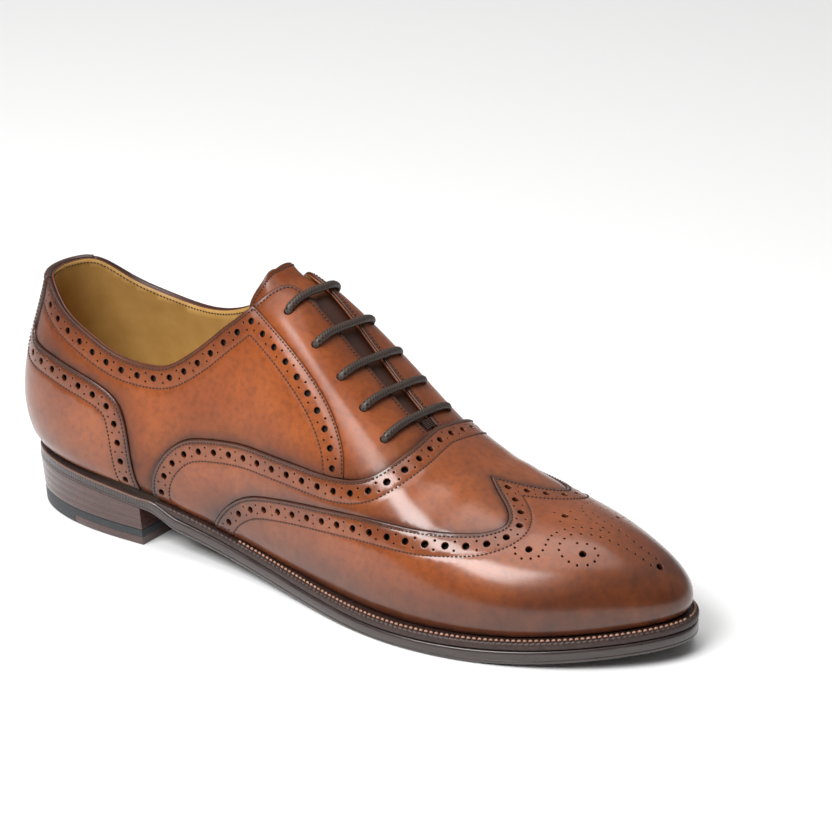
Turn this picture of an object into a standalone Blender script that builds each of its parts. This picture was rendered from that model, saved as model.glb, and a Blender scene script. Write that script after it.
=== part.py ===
"""Right-foot wing-tip brogue oxford: welted leather sole, stacked heel and laced upper.

The frame has +X to the toe, +Y to the inner side of the foot and +Z up, in metres.
The origin lies on the floor under the middle of the shoe.
Tables are in millimetres, with x counted from the back of the heel. MM turns them into metres.
"""
import math
from collections import namedtuple

import bpy
import bmesh
import numpy as np
from mathutils import Vector
from mathutils.geometry import delaunay_2d_cdt

OBJECT_NAME = "brogue_oxford"

# Frame
MM = 0.001
ORIGIN_X = 141.66
ORIGIN_Y = -1.12

# Leather and clearances
GAP = 0.3
UPPER_WALL = 2.0
QUARTER_THICK = 0.9
COUNTER_THICK = 1.2
VAMP_THICK = 1.2
WING_THICK = 1.6
PANEL_FOOT = 2.0
PANEL_GAP = 0.55
COLLAR_LIP = 0.008

# Sections of the last, one row each, from the back of the heel to the tip of the toe.
# foot is the line where upper meets welt: its x, and its y on the outer and inner side.
# top is the crest of the section: its x, its middle y, half its open width, and its height.
# belly is how far the wall swells out and wall how upright it stands.
# crown is how flat the top is on the outer side, and crown_in on the inner side.
Section = namedtuple(
    "Section", "name foot_x foot_out foot_in top_x top_mid top_half top_z belly wall crown crown_in")
SECTIONS = [
    Section("heel back", 2, 0, 0, 5, 0, 0, 104, 6.5, 0.0, 0.0, 0.0),
    Section("heel corner", 10, -17, 17, 12, 0, 14, 104, 6.5, 0.0, 0.0, 0.0),
    Section("heel side", 34, -27, 26, 36, 0, 21, 104, 5.0, 0.0, 0.0, 0.0),
    Section("quarter", 64, -28, 24, 66, 0, 21, 107, 3.5, 0.1, 0.1, 0.1),
    Section("waist", 95, -27, 22.5, 96, -1, 13, 115, 3.0, 0.6, 0.5, 0.6),
    Section("instep", 125, -29, 24, 124, -3, 0, 116, 3.0, 1.0, 0.86, 0.85),
    Section("throat", 155, -34, 29, 152, -4, 0, 94, 2.5, 1.0, 0.87, 1.1),
    Section("ball", 185, -39, 37, 180, -3.5, 0, 70.5, 2.0, 1.0, 0.86, 0.75),
    Section("vamp", 214, -38, 37, 206, -1.5, 0, 53, 1.5, 1.1, 0.87, 0.95),
    Section("toe side", 243, -29, 33.5, 231, 1, 0, 45, 1.5, 1.1, 0.87, 0.93),
    Section("toe corner", 268.5, -12, 23, 254, 4, 0, 42, 1.5, 1.1, 0.86, 0.65),
    Section("toe tip", 281.5, 8, 8, 267, 8, 0, 37, 2.0, 1.0, 0.80, 0.80),
]
TOE = len(SECTIONS) - 1

# The crest is open at the heel, and closed to one line between these u
CREST_CLOSES = (4.2, 5.0)
# Its slope is read between these u, and carried on past them
CREST_SLOPE = (4.0, 10.6)

# Height of the foot line over the floor, by x: heel seat, arch, ball and toe spring
FOOT_HEIGHT = [
    (2, 26), (34, 25), (64, 22.5), (100, 17), (140, 11.5), (180, 9), (210, 9), (245, 11), (285, 16),
]

# The wall turns in by this much over this height to meet the welt
TURN_IN = 3.0
TURN_HEIGHT = 2.5

# The ridge of the instep leans back, to the inner side and down by this much.
# The lean grows up the outer and the inner side between these r, and comes and goes between these u.
RIDGE_LEAN = Vector((-4.2, 6.0, -3.2))
RIDGE_OUT = (0.66, 0.98)
RIDGE_IN = (0.25, 0.8)
RIDGE_STARTS = (4.2, 5.0)
RIDGE_ENDS = (5.7, 8.4)

# Pattern lines on the last: u counts sections from the heel, r runs from foot line 0 to crest 1.
# The top line has an r for the outer and for the inner side.
TOP_LINE = [
    (0.0, 0.735, 0.735), (0.5, 0.735, 0.735), (1.0, 0.720, 0.720), (1.55, 0.635, 0.630),
    (2.1, 0.570, 0.578), (2.65, 0.512, 0.555), (3.1, 0.488, 0.553), (3.4, 0.488, 0.566),
    (3.6, 0.510, 0.583), (3.9, 0.558, 0.620), (4.2, 0.620, 0.660), (4.5, 0.695, 0.712),
    (4.75, 0.810, 0.815), (4.92, 0.880, 0.880), (5.15, 0.907, 0.907), (5.8, 0.935, 0.935),
    (6.4, 0.952, 0.952), (7.0, 0.960, 0.960), (7.2, 0.975, 0.975), (7.3, 1.0, 1.0),
]
THROAT_END = 7.3
COUNTER_NECK = 0.88
COUNTER_LINE = [
    (0.91, 0.63), (0.89, 0.53), (0.93, 0.47), (1.07, 0.45), (1.46, 0.438), (1.92, 0.42), (2.29, 0.40),
    (2.57, 0.374), (2.78, 0.33), (2.91, 0.253), (2.98, 0.157), (3.06, 0.02),
]
VAMP_LINE = [
    (3.26, 0.02), (3.32, 0.11), (3.42, 0.165), (3.57, 0.21), (3.77, 0.24), (4.0, 0.25), (4.35, 0.253),
    (4.7, 0.257), (5.15, 0.271), (5.6, 0.307), (6.05, 0.362), (6.31, 0.406), (6.5, 0.45), (6.7, 0.52),
    (6.92, 0.66), (7.07, 0.84), (7.12, 1.0),
]
WING_LINE = [
    (4.22, 0.02), (4.39, 0.067), (4.59, 0.104), (4.88, 0.137), (5.17, 0.16), (5.64, 0.204), (6.25, 0.279),
    (6.91, 0.378), (7.55, 0.484), (7.98, 0.574), (8.26, 0.64), (8.44, 0.704), (8.53, 0.763), (8.52, 0.823),
    (8.43, 0.88), (8.27, 0.932), (8.02, 1.0),
]
FACING_CORNER = 4.52
FACING_LINE = [
    (4.75, 0.66), (5.03, 0.636), (5.43, 0.624), (5.75, 0.612), (5.98, 0.585), (6.15, 0.539), (6.26, 0.482),
    (6.31, 0.406),
]

# Eyelets on the outer facing, how much further on and up the inner ones sit, and the lace.
# A bar runs further on by its lead at the crest, so that it lies straight in plan.
EYELETS = [(5.07, 0.75), (5.55, 0.745), (5.96, 0.75), (6.34, 0.745), (6.71, 0.722)]
EYELET_LEAD = 0.11
EYELET_RISE = 0.05
EYELET_RADIUS = 2.1
LACE_RADIUS = 1.3
LACE_REST = 0.35
LACE_SINK = 0.8
LACE_LEAD = 0.2

# Tongue: u of each row at its sides and at its middle, from its top to its seam, and r of its side edge.
# Its middle rises over the facings by a height that depends on u.
TONGUE_ROWS = [
    (4.30, 4.70, 0.70), (4.40, 4.77, 0.665), (4.56, 4.86, 0.65), (4.78, 4.99, 0.65), (5.03, 5.16, 0.66),
    (5.35, 5.40, 0.675), (5.7, 5.7, 0.69), (6.1, 6.1, 0.71), (6.5, 6.5, 0.72), (6.85, 6.85, 0.73),
    (7.2, 7.2, 0.75), (7.55, 7.55, 0.78),
]
TONGUE_RISE = [(4.3, 4.2), (4.46, 4.2), (4.54, 4.0), (4.66, 3.4), (4.82, 2.0), (5.0, 0.4), (5.3, 0.0), (7.6, 0.0)]
TONGUE_LIFT = 0.12
TONGUE_COLUMNS = 5
TONGUE_CLEAR = 0.95
TONGUE_THICK = 1.8

# Sole: how far it stands out from the foot line, by u, on the outer and inner side
EDGE_OUT = [(0, 4.0), (3, 4.5), (5, 6.0), (7, 8.5), (9, 7.6), (11, 8.2)]
EDGE_IN = [(0, 4.0), (3, 4.0), (5, 4.5), (7, 6.5), (9, 7.5), (11, 8.2)]
WELT_INSIDE = -4.0
WELT_THICK = 3.0
WELT_START = 3.3
OUTSOLE_THICK = 5.3
SEAT_FRONT = 68.5
WAIST_FRONT = 84.0
EDGE_ROUND = 0.8
INSOLE_INSIDE = -2.8
INSOLE_THICK = 3.0

# Heel block and its top piece
BREAST = 3.05
HEEL_TAPER = 2.0
TOP_PIECE = 6.4
RUBBER_LAYER = 3.0
TIP_START = 31.0

# Grid of the upper: u lines by stretch (from, to, count), rows from foot to top
GRID_STRETCHES = [(0, 1, 5), (1, 2, 4), (2, 4, 6), (4, 5, 7), (5, 7, 7), (7, 7.4, 3), (7.4, 9, 5), (9, 11, 9)]
GRID_ROWS = 10
SPAN_U = 28.0
SPAN_R = 80.0
EDGE_SPACING = 6.0

# Colours, roughness
TAN = ((0.42, 0.15, 0.045, 1), 0.32)
TAN_DARK = ((0.30, 0.095, 0.03, 1), 0.34)
LINING = ((0.62, 0.40, 0.16, 1), 0.6)
LACE_BROWN = ((0.045, 0.026, 0.018, 1), 0.6)
WELT_BROWN = ((0.10, 0.04, 0.025, 1), 0.5)
SOLE_BROWN = ((0.11, 0.065, 0.05, 1), 0.45)
RUBBER_GREY = ((0.06, 0.07, 0.07, 1), 0.6)


def natural_spline(knots):
    """Smooth function of one value through a short list of knots."""
    xs, ys = np.array(knots, float).T
    step = np.diff(xs)
    matrix = np.eye(len(xs))
    rhs = np.zeros(len(xs))
    for i in range(1, len(xs) - 1):
        matrix[i, i - 1:i + 2] = step[i - 1], 2 * (step[i - 1] + step[i]), step[i]
        rhs[i] = 6 * ((ys[i + 1] - ys[i]) / step[i] - (ys[i] - ys[i - 1]) / step[i - 1])
    bend = np.linalg.solve(matrix, rhs)

    def value(x):
        i = int(np.clip(np.searchsorted(xs, x) - 1, 0, len(step) - 1))
        size = step[i]
        before = x - xs[i]
        after = xs[i + 1] - x
        curve = (bend[i] * after ** 3 + bend[i + 1] * before ** 3) / (6 * size)
        start = (ys[i] / size - bend[i] * size / 6) * after
        end = (ys[i + 1] / size - bend[i + 1] * size / 6) * before
        return curve + start + end

    return value


def loop_spline(rows):
    """Smooth closed function of the row number through rows of columns."""
    values = np.array(rows, float)
    count = len(values)
    unit = np.eye(count)
    matrix = 4 * unit + np.roll(unit, 1, 0) + np.roll(unit, -1, 0)
    bend = np.linalg.solve(matrix, 6 * (np.roll(values, -1, 0) - 2 * values + np.roll(values, 1, 0)))

    def value(u):
        i = math.floor(u) % count
        j = (i + 1) % count
        t = u - math.floor(u)
        s = 1 - t
        return s * values[i] + t * values[j] + ((s ** 3 - s) * bend[i] + (t ** 3 - t) * bend[j]) / 6

    return value


def last_columns():
    """The sections round the whole foot: outer side to the toe, inner side back to the heel."""
    outer = [(s.foot_x, s.foot_out, s.top_x, s.top_mid - s.top_half, s.top_z, s.belly, s.wall, s.crown)
             for s in SECTIONS]
    inner = [(s.foot_x, s.foot_in, s.top_x, s.top_mid + s.top_half, s.top_z, s.belly, s.wall, s.crown_in)
             for s in SECTIONS[-2:0:-1]]
    return loop_spline(outer + inner)


def blend(x, start, end):
    """Smooth step from 0 at start to 1 at end."""
    t = min(max((x - start) / (end - start), 0.0), 1.0)
    return t * t * (3 - 2 * t)


foot_height = natural_spline(FOOT_HEIGHT)
columns = last_columns()
top_line = [natural_spline([(row[0], row[1 + side]) for row in TOP_LINE]) for side in (0, 1)]
edge_width = [natural_spline(EDGE_OUT), natural_spline(EDGE_IN)]
tongue_rise = natural_spline(TONGUE_RISE)


def section_columns(u, side):
    return columns(u if side == 0 else 2 * TOE - u)


def crest_slope(u):
    """Rise of the crest for each step forward."""
    middle = min(max(u, CREST_SLOPE[0]), CREST_SLOPE[1])
    ahead = section_columns(middle + 0.2, 0)
    behind = section_columns(middle - 0.2, 0)
    return (ahead[4] - behind[4]) / (ahead[2] - behind[2])


def ridge_lean(u, r, side):
    """Share of the ridge's lean at a point of the last."""
    along = blend(u, *RIDGE_STARTS) * (1 - blend(u, *RIDGE_ENDS))
    return along * blend(r, *(RIDGE_IN if side else RIDGE_OUT))


def last_point(u, r, side, closed=False):
    """Point of the last's surface: u along the foot, r up the section, side 0 outer or 1 inner.

    The section is a Bezier curve from foot to crest. With closed, the crest is one line at the collar too.
    """
    foot_x, foot_y, top_x, top_y, top_z, belly, wall, crown = section_columns(u, side)
    across_y = section_columns(u, 1 - side)[3]
    top_mid = (top_y + across_y) / 2
    top_y = top_mid if closed else top_mid + (top_y - top_mid) * (1 - blend(u, *CREST_CLOSES))
    foot_z = foot_height(foot_x)
    v = 1 - r
    low = 3 * v * v * r
    high = 3 * v * r * r
    end = r ** 3
    run_x = top_x - foot_x
    run_y = top_y - foot_y
    run = max(math.hypot(run_x, run_y), 1e-6)
    lean = crown * crest_slope(u) * run_x / (top_z - foot_z)
    across = low * (1 - wall) / 3 + high * (1 - crown) + end
    rise = low * (1 / 3 + 0.22 * wall) + high * (1 - lean) + end
    height = rise * (top_z - foot_z)
    turn = TURN_IN * (1 - math.exp(-height / TURN_HEIGHT)) * (1 - rise)
    swell = belly * 6.75 * rise * (1 - rise) ** 2 + turn
    return Vector((
        foot_x + run_x * across - swell * run_x / run,
        foot_y + run_y * across - swell * run_y / run,
        foot_z + height,
    )) + RIDGE_LEAN * ridge_lean(u, r, side)


def last_normal(u, r, side):
    """Outward direction of the last's surface."""
    step = 0.01
    along = last_point(u + step, r, side) - last_point(u - step, r, side)
    up = last_point(u, r + step, side) - last_point(u, r - step, side)
    normal = along.cross(up) if side == 0 else up.cross(along)
    return normal.normalized()


def row_at_height(u, side, height):
    """The r whose point lies this far above the foot line."""
    low, high = 0.0, 0.5
    base = last_point(u, 0, side).z
    for _ in range(24):
        middle = (low + high) / 2
        if last_point(u, middle, side).z - base < height:
            low = middle
        else:
            high = middle
    return high


def to_part(point):
    return Vector(((point[0] - ORIGIN_X) * MM, (point[1] - ORIGIN_Y) * MM, point[2] * MM))


def make_material(name, look):
    color, roughness = look
    material = bpy.data.materials.new(name)
    material.use_nodes = True
    shader = material.node_tree.nodes["Principled BSDF"]
    shader.inputs["Base Color"].default_value = color
    shader.inputs["Roughness"].default_value = roughness
    shader.inputs["Metallic"].default_value = 0.0
    return material


def add_object(name, mesh, look, collection):
    obj = bpy.data.objects.new(name, mesh)
    mesh.materials.append(make_material(name, look))
    mesh.shade_smooth()
    mesh.set_sharp_from_angle(angle=math.radians(40))
    collection.objects.link(obj)
    return obj


def solidify(obj, thickness, offset):
    """Give an open surface its leather: offset 1 is outward, -1 inward."""
    modifier = obj.modifiers.new("leather", "SOLIDIFY")
    modifier.thickness = thickness * MM
    modifier.offset = offset
    modifier.use_even_offset = True
    modifier.thickness_clamp = 0.0
    return modifier


def surface_mesh(name, sides, gap):
    """Join the patches of both sides, a list of (points, faces), raised off the last by gap."""
    bm = bmesh.new()
    for points, faces in sides:
        verts = [bm.verts.new(to_part(p)) for p in points]
        for face in faces:
            bm.faces.new([verts[i] for i in face])
    bmesh.ops.remove_doubles(bm, verts=bm.verts, dist=0.02 * MM)
    bm.normal_update()
    for vert in bm.verts:
        vert.co += vert.normal * gap * MM
    mesh = bpy.data.meshes.new(name)
    bm.to_mesh(mesh)
    bm.free()
    return mesh


def grid_lines():
    """The u lines of the upper's grid, from heel to toe."""
    lines = [0.0]
    for start, end, count in GRID_STRETCHES:
        lines += [start + (end - start) * (k + 1) / count for k in range(count)]
    return lines


def upper_patch(side):
    """Half of the upper as a grid of quads from foot line to top line or crest."""
    lines = grid_lines()
    points = []
    for u in lines:
        top = 1.0 if u >= THROAT_END else min(top_line[side](u), 1.0)
        points += [last_point(u, top * k / GRID_ROWS, side) for k in range(GRID_ROWS + 1)]
    faces = []
    row = GRID_ROWS + 1
    for i in range(len(lines) - 1):
        for k in range(GRID_ROWS):
            a = i * row + k
            quad = (a, a + row, a + row + 1, a + 1)
            faces.append(quad if side == 0 else quad[::-1])
    return points, faces


def eyelet(outer, side):
    """Pattern point of an eyelet or of its partner on the inner facing."""
    return outer[0] + side * EYELET_LEAD, outer[1] + side * EYELET_RISE


def build_upper(collection, cutters):
    """The hollow upper, with its eyelet holes cut through both facings."""
    mesh = surface_mesh("upper", [upper_patch(0), upper_patch(1)], 0.0)
    upper = add_object("upper", mesh, TAN, collection)
    solidify(upper, UPPER_WALL, -1)
    bm = bmesh.new()
    for outer in EYELETS:
        for side in (0, 1):
            u, r = eyelet(outer, side)
            normal = last_normal(u, r, side)
            matrix = normal.to_track_quat("Z", "Y").to_matrix().to_4x4()
            matrix.translation = to_part(last_point(u, r, side))
            bmesh.ops.create_cone(bm, cap_ends=True, segments=10, radius1=EYELET_RADIUS * MM,
                                  radius2=EYELET_RADIUS * MM, depth=8 * MM, matrix=matrix)
    holes = bpy.data.meshes.new("eyelet_holes")
    bm.to_mesh(holes)
    bm.free()
    cutter = bpy.data.objects.new("eyelet_holes", holes)
    cutter.hide_render = True
    cutter.display_type = "WIRE"
    cutters.objects.link(cutter)
    cut = upper.modifiers.new("eyelets", "BOOLEAN")
    cut.operation = "DIFFERENCE"
    cut.object = cutter
    return upper


def flat(point):
    """Pattern point spread to about millimetres."""
    return np.array((point[0] * SPAN_U, point[1] * SPAN_R))


def smooth_line(knots, spacing=EDGE_SPACING):
    """Points at even spacing on a smooth curve through pattern knots."""
    spread = [flat(k) for k in knots]
    lengths = [0.0]
    for a, b in zip(spread, spread[1:]):
        lengths.append(lengths[-1] + float(np.linalg.norm(b - a)))
    along_u = natural_spline(list(zip(lengths, [k[0] for k in knots])))
    along_r = natural_spline(list(zip(lengths, [k[1] for k in knots])))
    count = max(2, round(lengths[-1] / spacing))
    return [(along_u(lengths[-1] * k / count), along_r(lengths[-1] * k / count)) for k in range(count + 1)]


def top_edge(start, end, side):
    """The collar from one u to another, just under the upper's own edge."""
    count = max(2, round(abs(end - start) * SPAN_U / EDGE_SPACING))
    steps = [start + (end - start) * k / count for k in range(count + 1)]
    return [(u, top_line[side](u) - COLLAR_LIP) for u in steps]


def foot_edge(start, end, side):
    """The lower edge of a panel, a little above the welt."""
    count = max(2, round(abs(end - start) * SPAN_U / EDGE_SPACING))
    steps = [start + (end - start) * k / count for k in range(count + 1)]
    return [(u, row_at_height(u, side, PANEL_FOOT)) for u in steps]


def straight_edge(start, end):
    """Straight pattern edge along the crest, the heel seam or the toe's middle."""
    count = max(2, round(float(np.linalg.norm(flat(end) - flat(start))) / EDGE_SPACING))
    mix = [k / count for k in range(count + 1)]
    return [(start[0] + (end[0] - start[0]) * t, start[1] + (end[1] - start[1]) * t) for t in mix]


def join_edges(*edges):
    """One closed outline from edges that follow each other."""
    outline = []
    for edge in edges:
        for point in edge:
            if not outline or np.linalg.norm(flat(point) - flat(outline[-1])) > 0.4:
                outline.append(point)
    if np.linalg.norm(flat(outline[0]) - flat(outline[-1])) < 0.4:
        outline.pop()
    return outline


def on_end_seam(point):
    """True on the heel seam and the toe's middle, where the two sides are joined."""
    return point[0] < 1e-6 or point[0] > TOE - 1e-6


def on_crest(point):
    """True on the crest, where the two sides are joined."""
    return point[1] > 1 - 1e-6


def inset(outline, distance):
    """Draw an outline in from its neighbours, but not from the joined seams."""
    spread = [flat(p) for p in outline]
    area = sum(a[0] * b[1] - a[1] * b[0] for a, b in zip(spread, spread[1:] + spread[:1]))
    turn = 1.0 if area > 0 else -1.0
    moved = []
    for i, point in enumerate(outline):
        tangent = spread[(i + 1) % len(spread)] - spread[i - 1]
        tangent /= np.linalg.norm(tangent)
        shift = turn * distance * np.array((-tangent[1], tangent[0]))
        u = point[0] + shift[0] / SPAN_U
        r = point[1] + shift[1] / SPAN_R
        if on_end_seam(point):
            u, r = point
        elif on_crest(point):
            r = 1.0
        moved.append((u, r))
    return moved


def inside(outline, point, margin):
    """True for a spread point inside the outline and clear of its edge."""
    crossings = 0
    for a, b in zip(outline, outline[1:] + outline[:1]):
        span = b - a
        along = np.clip(np.dot(point - a, span) / max(np.dot(span, span), 1e-9), 0, 1)
        if np.linalg.norm(point - a - along * span) < margin:
            return False
        if (a[1] > point[1]) != (b[1] > point[1]):
            crossings += point[0] < a[0] + span[0] * (point[1] - a[1]) / span[1]
    return crossings % 2 == 1


def panel_patch(outline, side):
    """A pattern panel laid on one side of the last, as triangles."""
    spread = [flat(p) for p in outline]
    points = list(spread)
    for u in grid_lines():
        for k in range(1, GRID_ROWS + 2):
            candidate = flat((u, k / (GRID_ROWS + 2)))
            if inside(spread, candidate, 0.45 * EDGE_SPACING):
                points.append(candidate)
    result = delaunay_2d_cdt([Vector(p) for p in points], [], [list(range(len(spread)))], 1, 1e-4)
    placed = [last_point(p.x / SPAN_U, min(p.y / SPAN_R, 1.0), side) for p in result[0]]
    faces = [tuple(f) if side == 0 else tuple(reversed(f)) for f in result[2]]
    return placed, faces


def build_panel(name, outlines, thickness, look, collection):
    """A leather overlay: outlines is a list of (outline, side)."""
    patches = [panel_patch(inset(outline, GAP / 2), side) for outline, side in outlines]
    panel = add_object(name, surface_mesh(name, patches, PANEL_GAP), look, collection)
    solidify(panel, thickness, 1)
    return panel


def counter_outline(side):
    neck = (COUNTER_NECK, top_line[side](COUNTER_NECK) - COLLAR_LIP)
    return join_edges(
        top_edge(0.0, COUNTER_NECK, side),
        smooth_line([neck] + COUNTER_LINE),
        foot_edge(COUNTER_LINE[-1][0], 0.0, side),
        straight_edge((0.0, row_at_height(0.0, side, PANEL_FOOT)), (0.0, top_line[side](0.0) - COLLAR_LIP)),
    )


def quarter_outline(side):
    neck = (COUNTER_NECK, top_line[side](COUNTER_NECK) - COLLAR_LIP)
    corner = (FACING_CORNER, top_line[side](FACING_CORNER) - COLLAR_LIP)
    meet = [k for k in VAMP_LINE if k[0] <= FACING_LINE[-1][0]]
    return join_edges(
        top_edge(COUNTER_NECK, FACING_CORNER, side),
        smooth_line([corner] + FACING_LINE),
        smooth_line(meet)[::-1],
        foot_edge(VAMP_LINE[0][0], COUNTER_LINE[-1][0], side),
        smooth_line([neck] + COUNTER_LINE)[::-1],
    )


def vamp_outline(side):
    return join_edges(
        smooth_line(VAMP_LINE),
        straight_edge(VAMP_LINE[-1], WING_LINE[-1]),
        smooth_line(WING_LINE)[::-1],
        foot_edge(WING_LINE[0][0], VAMP_LINE[0][0], side),
    )


def wing_outline(side):
    toe_foot = (float(TOE), row_at_height(TOE, side, PANEL_FOOT))
    outline = join_edges(
        smooth_line(WING_LINE),
        straight_edge(WING_LINE[-1], (float(TOE), 1.0)),
        straight_edge((float(TOE), 1.0), toe_foot),
        foot_edge(float(TOE), WING_LINE[0][0], side),
    )
    return [p for p in outline if not (on_crest(p) and on_end_seam(p))]


def build_panels(collection):
    both = (0, 1)
    build_panel("heel_counter", [(counter_outline(s), s) for s in both], COUNTER_THICK, TAN_DARK, collection)
    build_panel("quarter_outer", [(quarter_outline(0), 0)], QUARTER_THICK, TAN, collection)
    build_panel("quarter_inner", [(quarter_outline(1), 1)], QUARTER_THICK, TAN, collection)
    build_panel("vamp", [(vamp_outline(s), s) for s in both], VAMP_THICK, TAN, collection)
    build_panel("wing_cap", [(wing_outline(s), s) for s in both], WING_THICK, TAN_DARK, collection)


def tongue_rows(side):
    """Rows of points from the tongue's top to its seam, each from the side edge to the crest."""
    rows = []
    for side_u, middle_u, edge in TONGUE_ROWS:
        row = []
        for k in range(TONGUE_COLUMNS + 1):
            r = edge + (1 - edge) * k / TONGUE_COLUMNS
            u = middle_u + (side_u - middle_u) * ((1 - r) / (1 - edge)) ** 2
            free = max(top_line[0](u), top_line[1](u))
            raised = tongue_rise(u) * blend(r, free, free + TONGUE_LIFT)
            row.append(last_point(u, r, side, closed=True) + Vector((0, 0, raised)))
        rows.append(row)
    return rows


def build_tongue(collection):
    """An arched strip under the facings that stands out above them."""
    patches = []
    for side in (0, 1):
        rows = tongue_rows(side)
        points = [point for row in rows for point in row]
        width = TONGUE_COLUMNS + 1
        faces = []
        for i in range(len(rows) - 1):
            for k in range(TONGUE_COLUMNS):
                a = i * width + k
                quad = (a, a + width, a + width + 1, a + 1)
                faces.append(quad if side == 0 else quad[::-1])
        patches.append((points, faces))
    mesh = surface_mesh("tongue", patches, -UPPER_WALL - TONGUE_CLEAR)
    tongue = add_object("tongue", mesh, TAN, collection)
    solidify(tongue, TONGUE_THICK, -1)


def lace_route(outer):
    """A bar from the outer to the inner eyelet, over both facings."""
    rest = LACE_RADIUS + LACE_REST
    route = []
    for side in (0, 1):
        u, r = eyelet(outer, side)
        hole = last_point(u, r, side)
        out = last_normal(u, r, side)
        inward = (last_point(u, r + 0.05, side) - hole).normalized()
        leg = [hole - out * LACE_SINK, hole + out * 0.25 * rest, hole + out * 0.7 * rest + inward * 0.35,
               hole + out * 1.1 * rest + inward * 1.6]
        for k in range(1, 4):
            row = r + 0.02 + (0.93 - r) * k / 3
            ahead = u + (LACE_LEAD - (EYELET_LEAD if side else 0)) * (row - r) / (1 - r)
            leg.append(last_point(ahead, row, side) + last_normal(ahead, row, side) * 1.15 * rest)
        route += leg if side == 0 else leg[::-1]
    return route


def build_laces(collection):
    for number, outer in enumerate(EYELETS, start=1):
        name = f"lace_bar_{number}"
        curve = bpy.data.curves.new(name, "CURVE")
        curve.dimensions = "3D"
        curve.bevel_depth = LACE_RADIUS * MM
        curve.bevel_resolution = 1
        curve.use_fill_caps = True
        spline = curve.splines.new("POLY")
        route = lace_route(outer)
        spline.points.add(len(route) - 1)
        for point, place in zip(spline.points, route):
            point.co = (*to_part(place), 1.0)
        curve.materials.append(make_material(name, LACE_BROWN))
        collection.objects.link(bpy.data.objects.new(name, curve))


def rim_point(u, side, outset):
    """Foot line moved out in plan, with the foot's own x kept for heights."""
    step = 0.01
    here = section_columns(u, side)
    ahead = section_columns(u + step, side)
    behind = section_columns(u - step, side)
    tangent = Vector((ahead[0] - behind[0], ahead[1] - behind[1]))
    tangent.normalize()
    normal = Vector((tangent.y, -tangent.x)) if side == 0 else Vector((-tangent.y, tangent.x))
    return here[0] + normal.x * outset, here[1] + normal.y * outset, here[0]


def welt_drop(x):
    """Room for the welt between upper and outsole: none at the heel seat."""
    return (WELT_THICK + GAP) * blend(x, SEAT_FRONT, WAIST_FRONT)


def rim_top(x):
    return foot_height(x) - 2 * GAP - welt_drop(x)


def sole_under(x):
    return max(rim_top(x) - OUTSOLE_THICK, 0.0)


def sole_lines(end):
    """u values round one side of the sole, closer at heel and toe."""
    lines = [k / 4 for k in range(0, 5)] + [4 / 3, 5 / 3, 2.0, 2.5, 3.0, BREAST, 3.3, 3.5, 3.7]
    lines += [4 + k / 2 for k in range(0, 10)] + [9 + k / 4 for k in range(0, 8)] + [float(TOE)]
    return [u for u in lines if u < end - 0.05] + [end]


def edge_loop(lines, outset, height):
    """Closed loop round the sole: outset(u, side) in plan, height(x)."""
    closed_toe = lines[-1] >= TOE - 1e-6
    outer = [(u, 0) for u in lines]
    inner = [(u, 1) for u in reversed(lines[1:-1] if closed_toe else lines[1:])]
    loop = []
    for u, side in outer + inner:
        x, y, foot_x = rim_point(u, side, outset(u, side))
        loop.append((x, y, height(foot_x)))
    return loop


def loft(name, loops, look, collection):
    """Solid through loops of equal length from bottom to top, closed by strips from side to side."""
    bm = bmesh.new()
    rings = [[bm.verts.new(to_part(p)) for p in loop] for loop in loops]
    count = len(rings[0])
    for low, high in zip(rings, rings[1:]):
        for i in range(count):
            j = (i + 1) % count
            bm.faces.new((low[i], low[j], high[j], high[i]))
    for ring in (rings[0], rings[-1]):
        for i in range(count // 2):
            corners = (ring[i], ring[i + 1], ring[count - 1 - i], ring[(count - i) % count])
            unique = list(dict.fromkeys(corners))
            if len(unique) > 2:
                bm.faces.new(unique)
    bmesh.ops.recalc_face_normals(bm, faces=bm.faces)
    mesh = bpy.data.meshes.new(name)
    bm.to_mesh(mesh)
    bm.free()
    return add_object(name, mesh, look, collection)


def steady(value):
    """A function that is the same everywhere."""
    def at(*place):
        return value
    return at


def shifted(height, by):
    """A height by x, moved up or down."""
    def at(x):
        return height(x) + by
    return at


def edge_less(narrow):
    """Outset of the sole's edge, narrowed by this much."""
    def at(u, side):
        return edge_width[side](u) - narrow
    return at


def build_outsole(collection):
    lines = sole_lines(float(TOE))
    edge = edge_less(0.0)
    rounded = edge_less(EDGE_ROUND)
    raised = steady(WELT_INSIDE - GAP)
    loops = [
        edge_loop(lines, rounded, sole_under),
        edge_loop(lines, edge, shifted(sole_under, EDGE_ROUND)),
        edge_loop(lines, edge, shifted(rim_top, -EDGE_ROUND)),
        edge_loop(lines, rounded, rim_top),
        edge_loop(lines, raised, rim_top),
        edge_loop(lines, raised, shifted(foot_height, -GAP)),
    ]
    loft("outsole", loops, SOLE_BROWN, collection)


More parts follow.
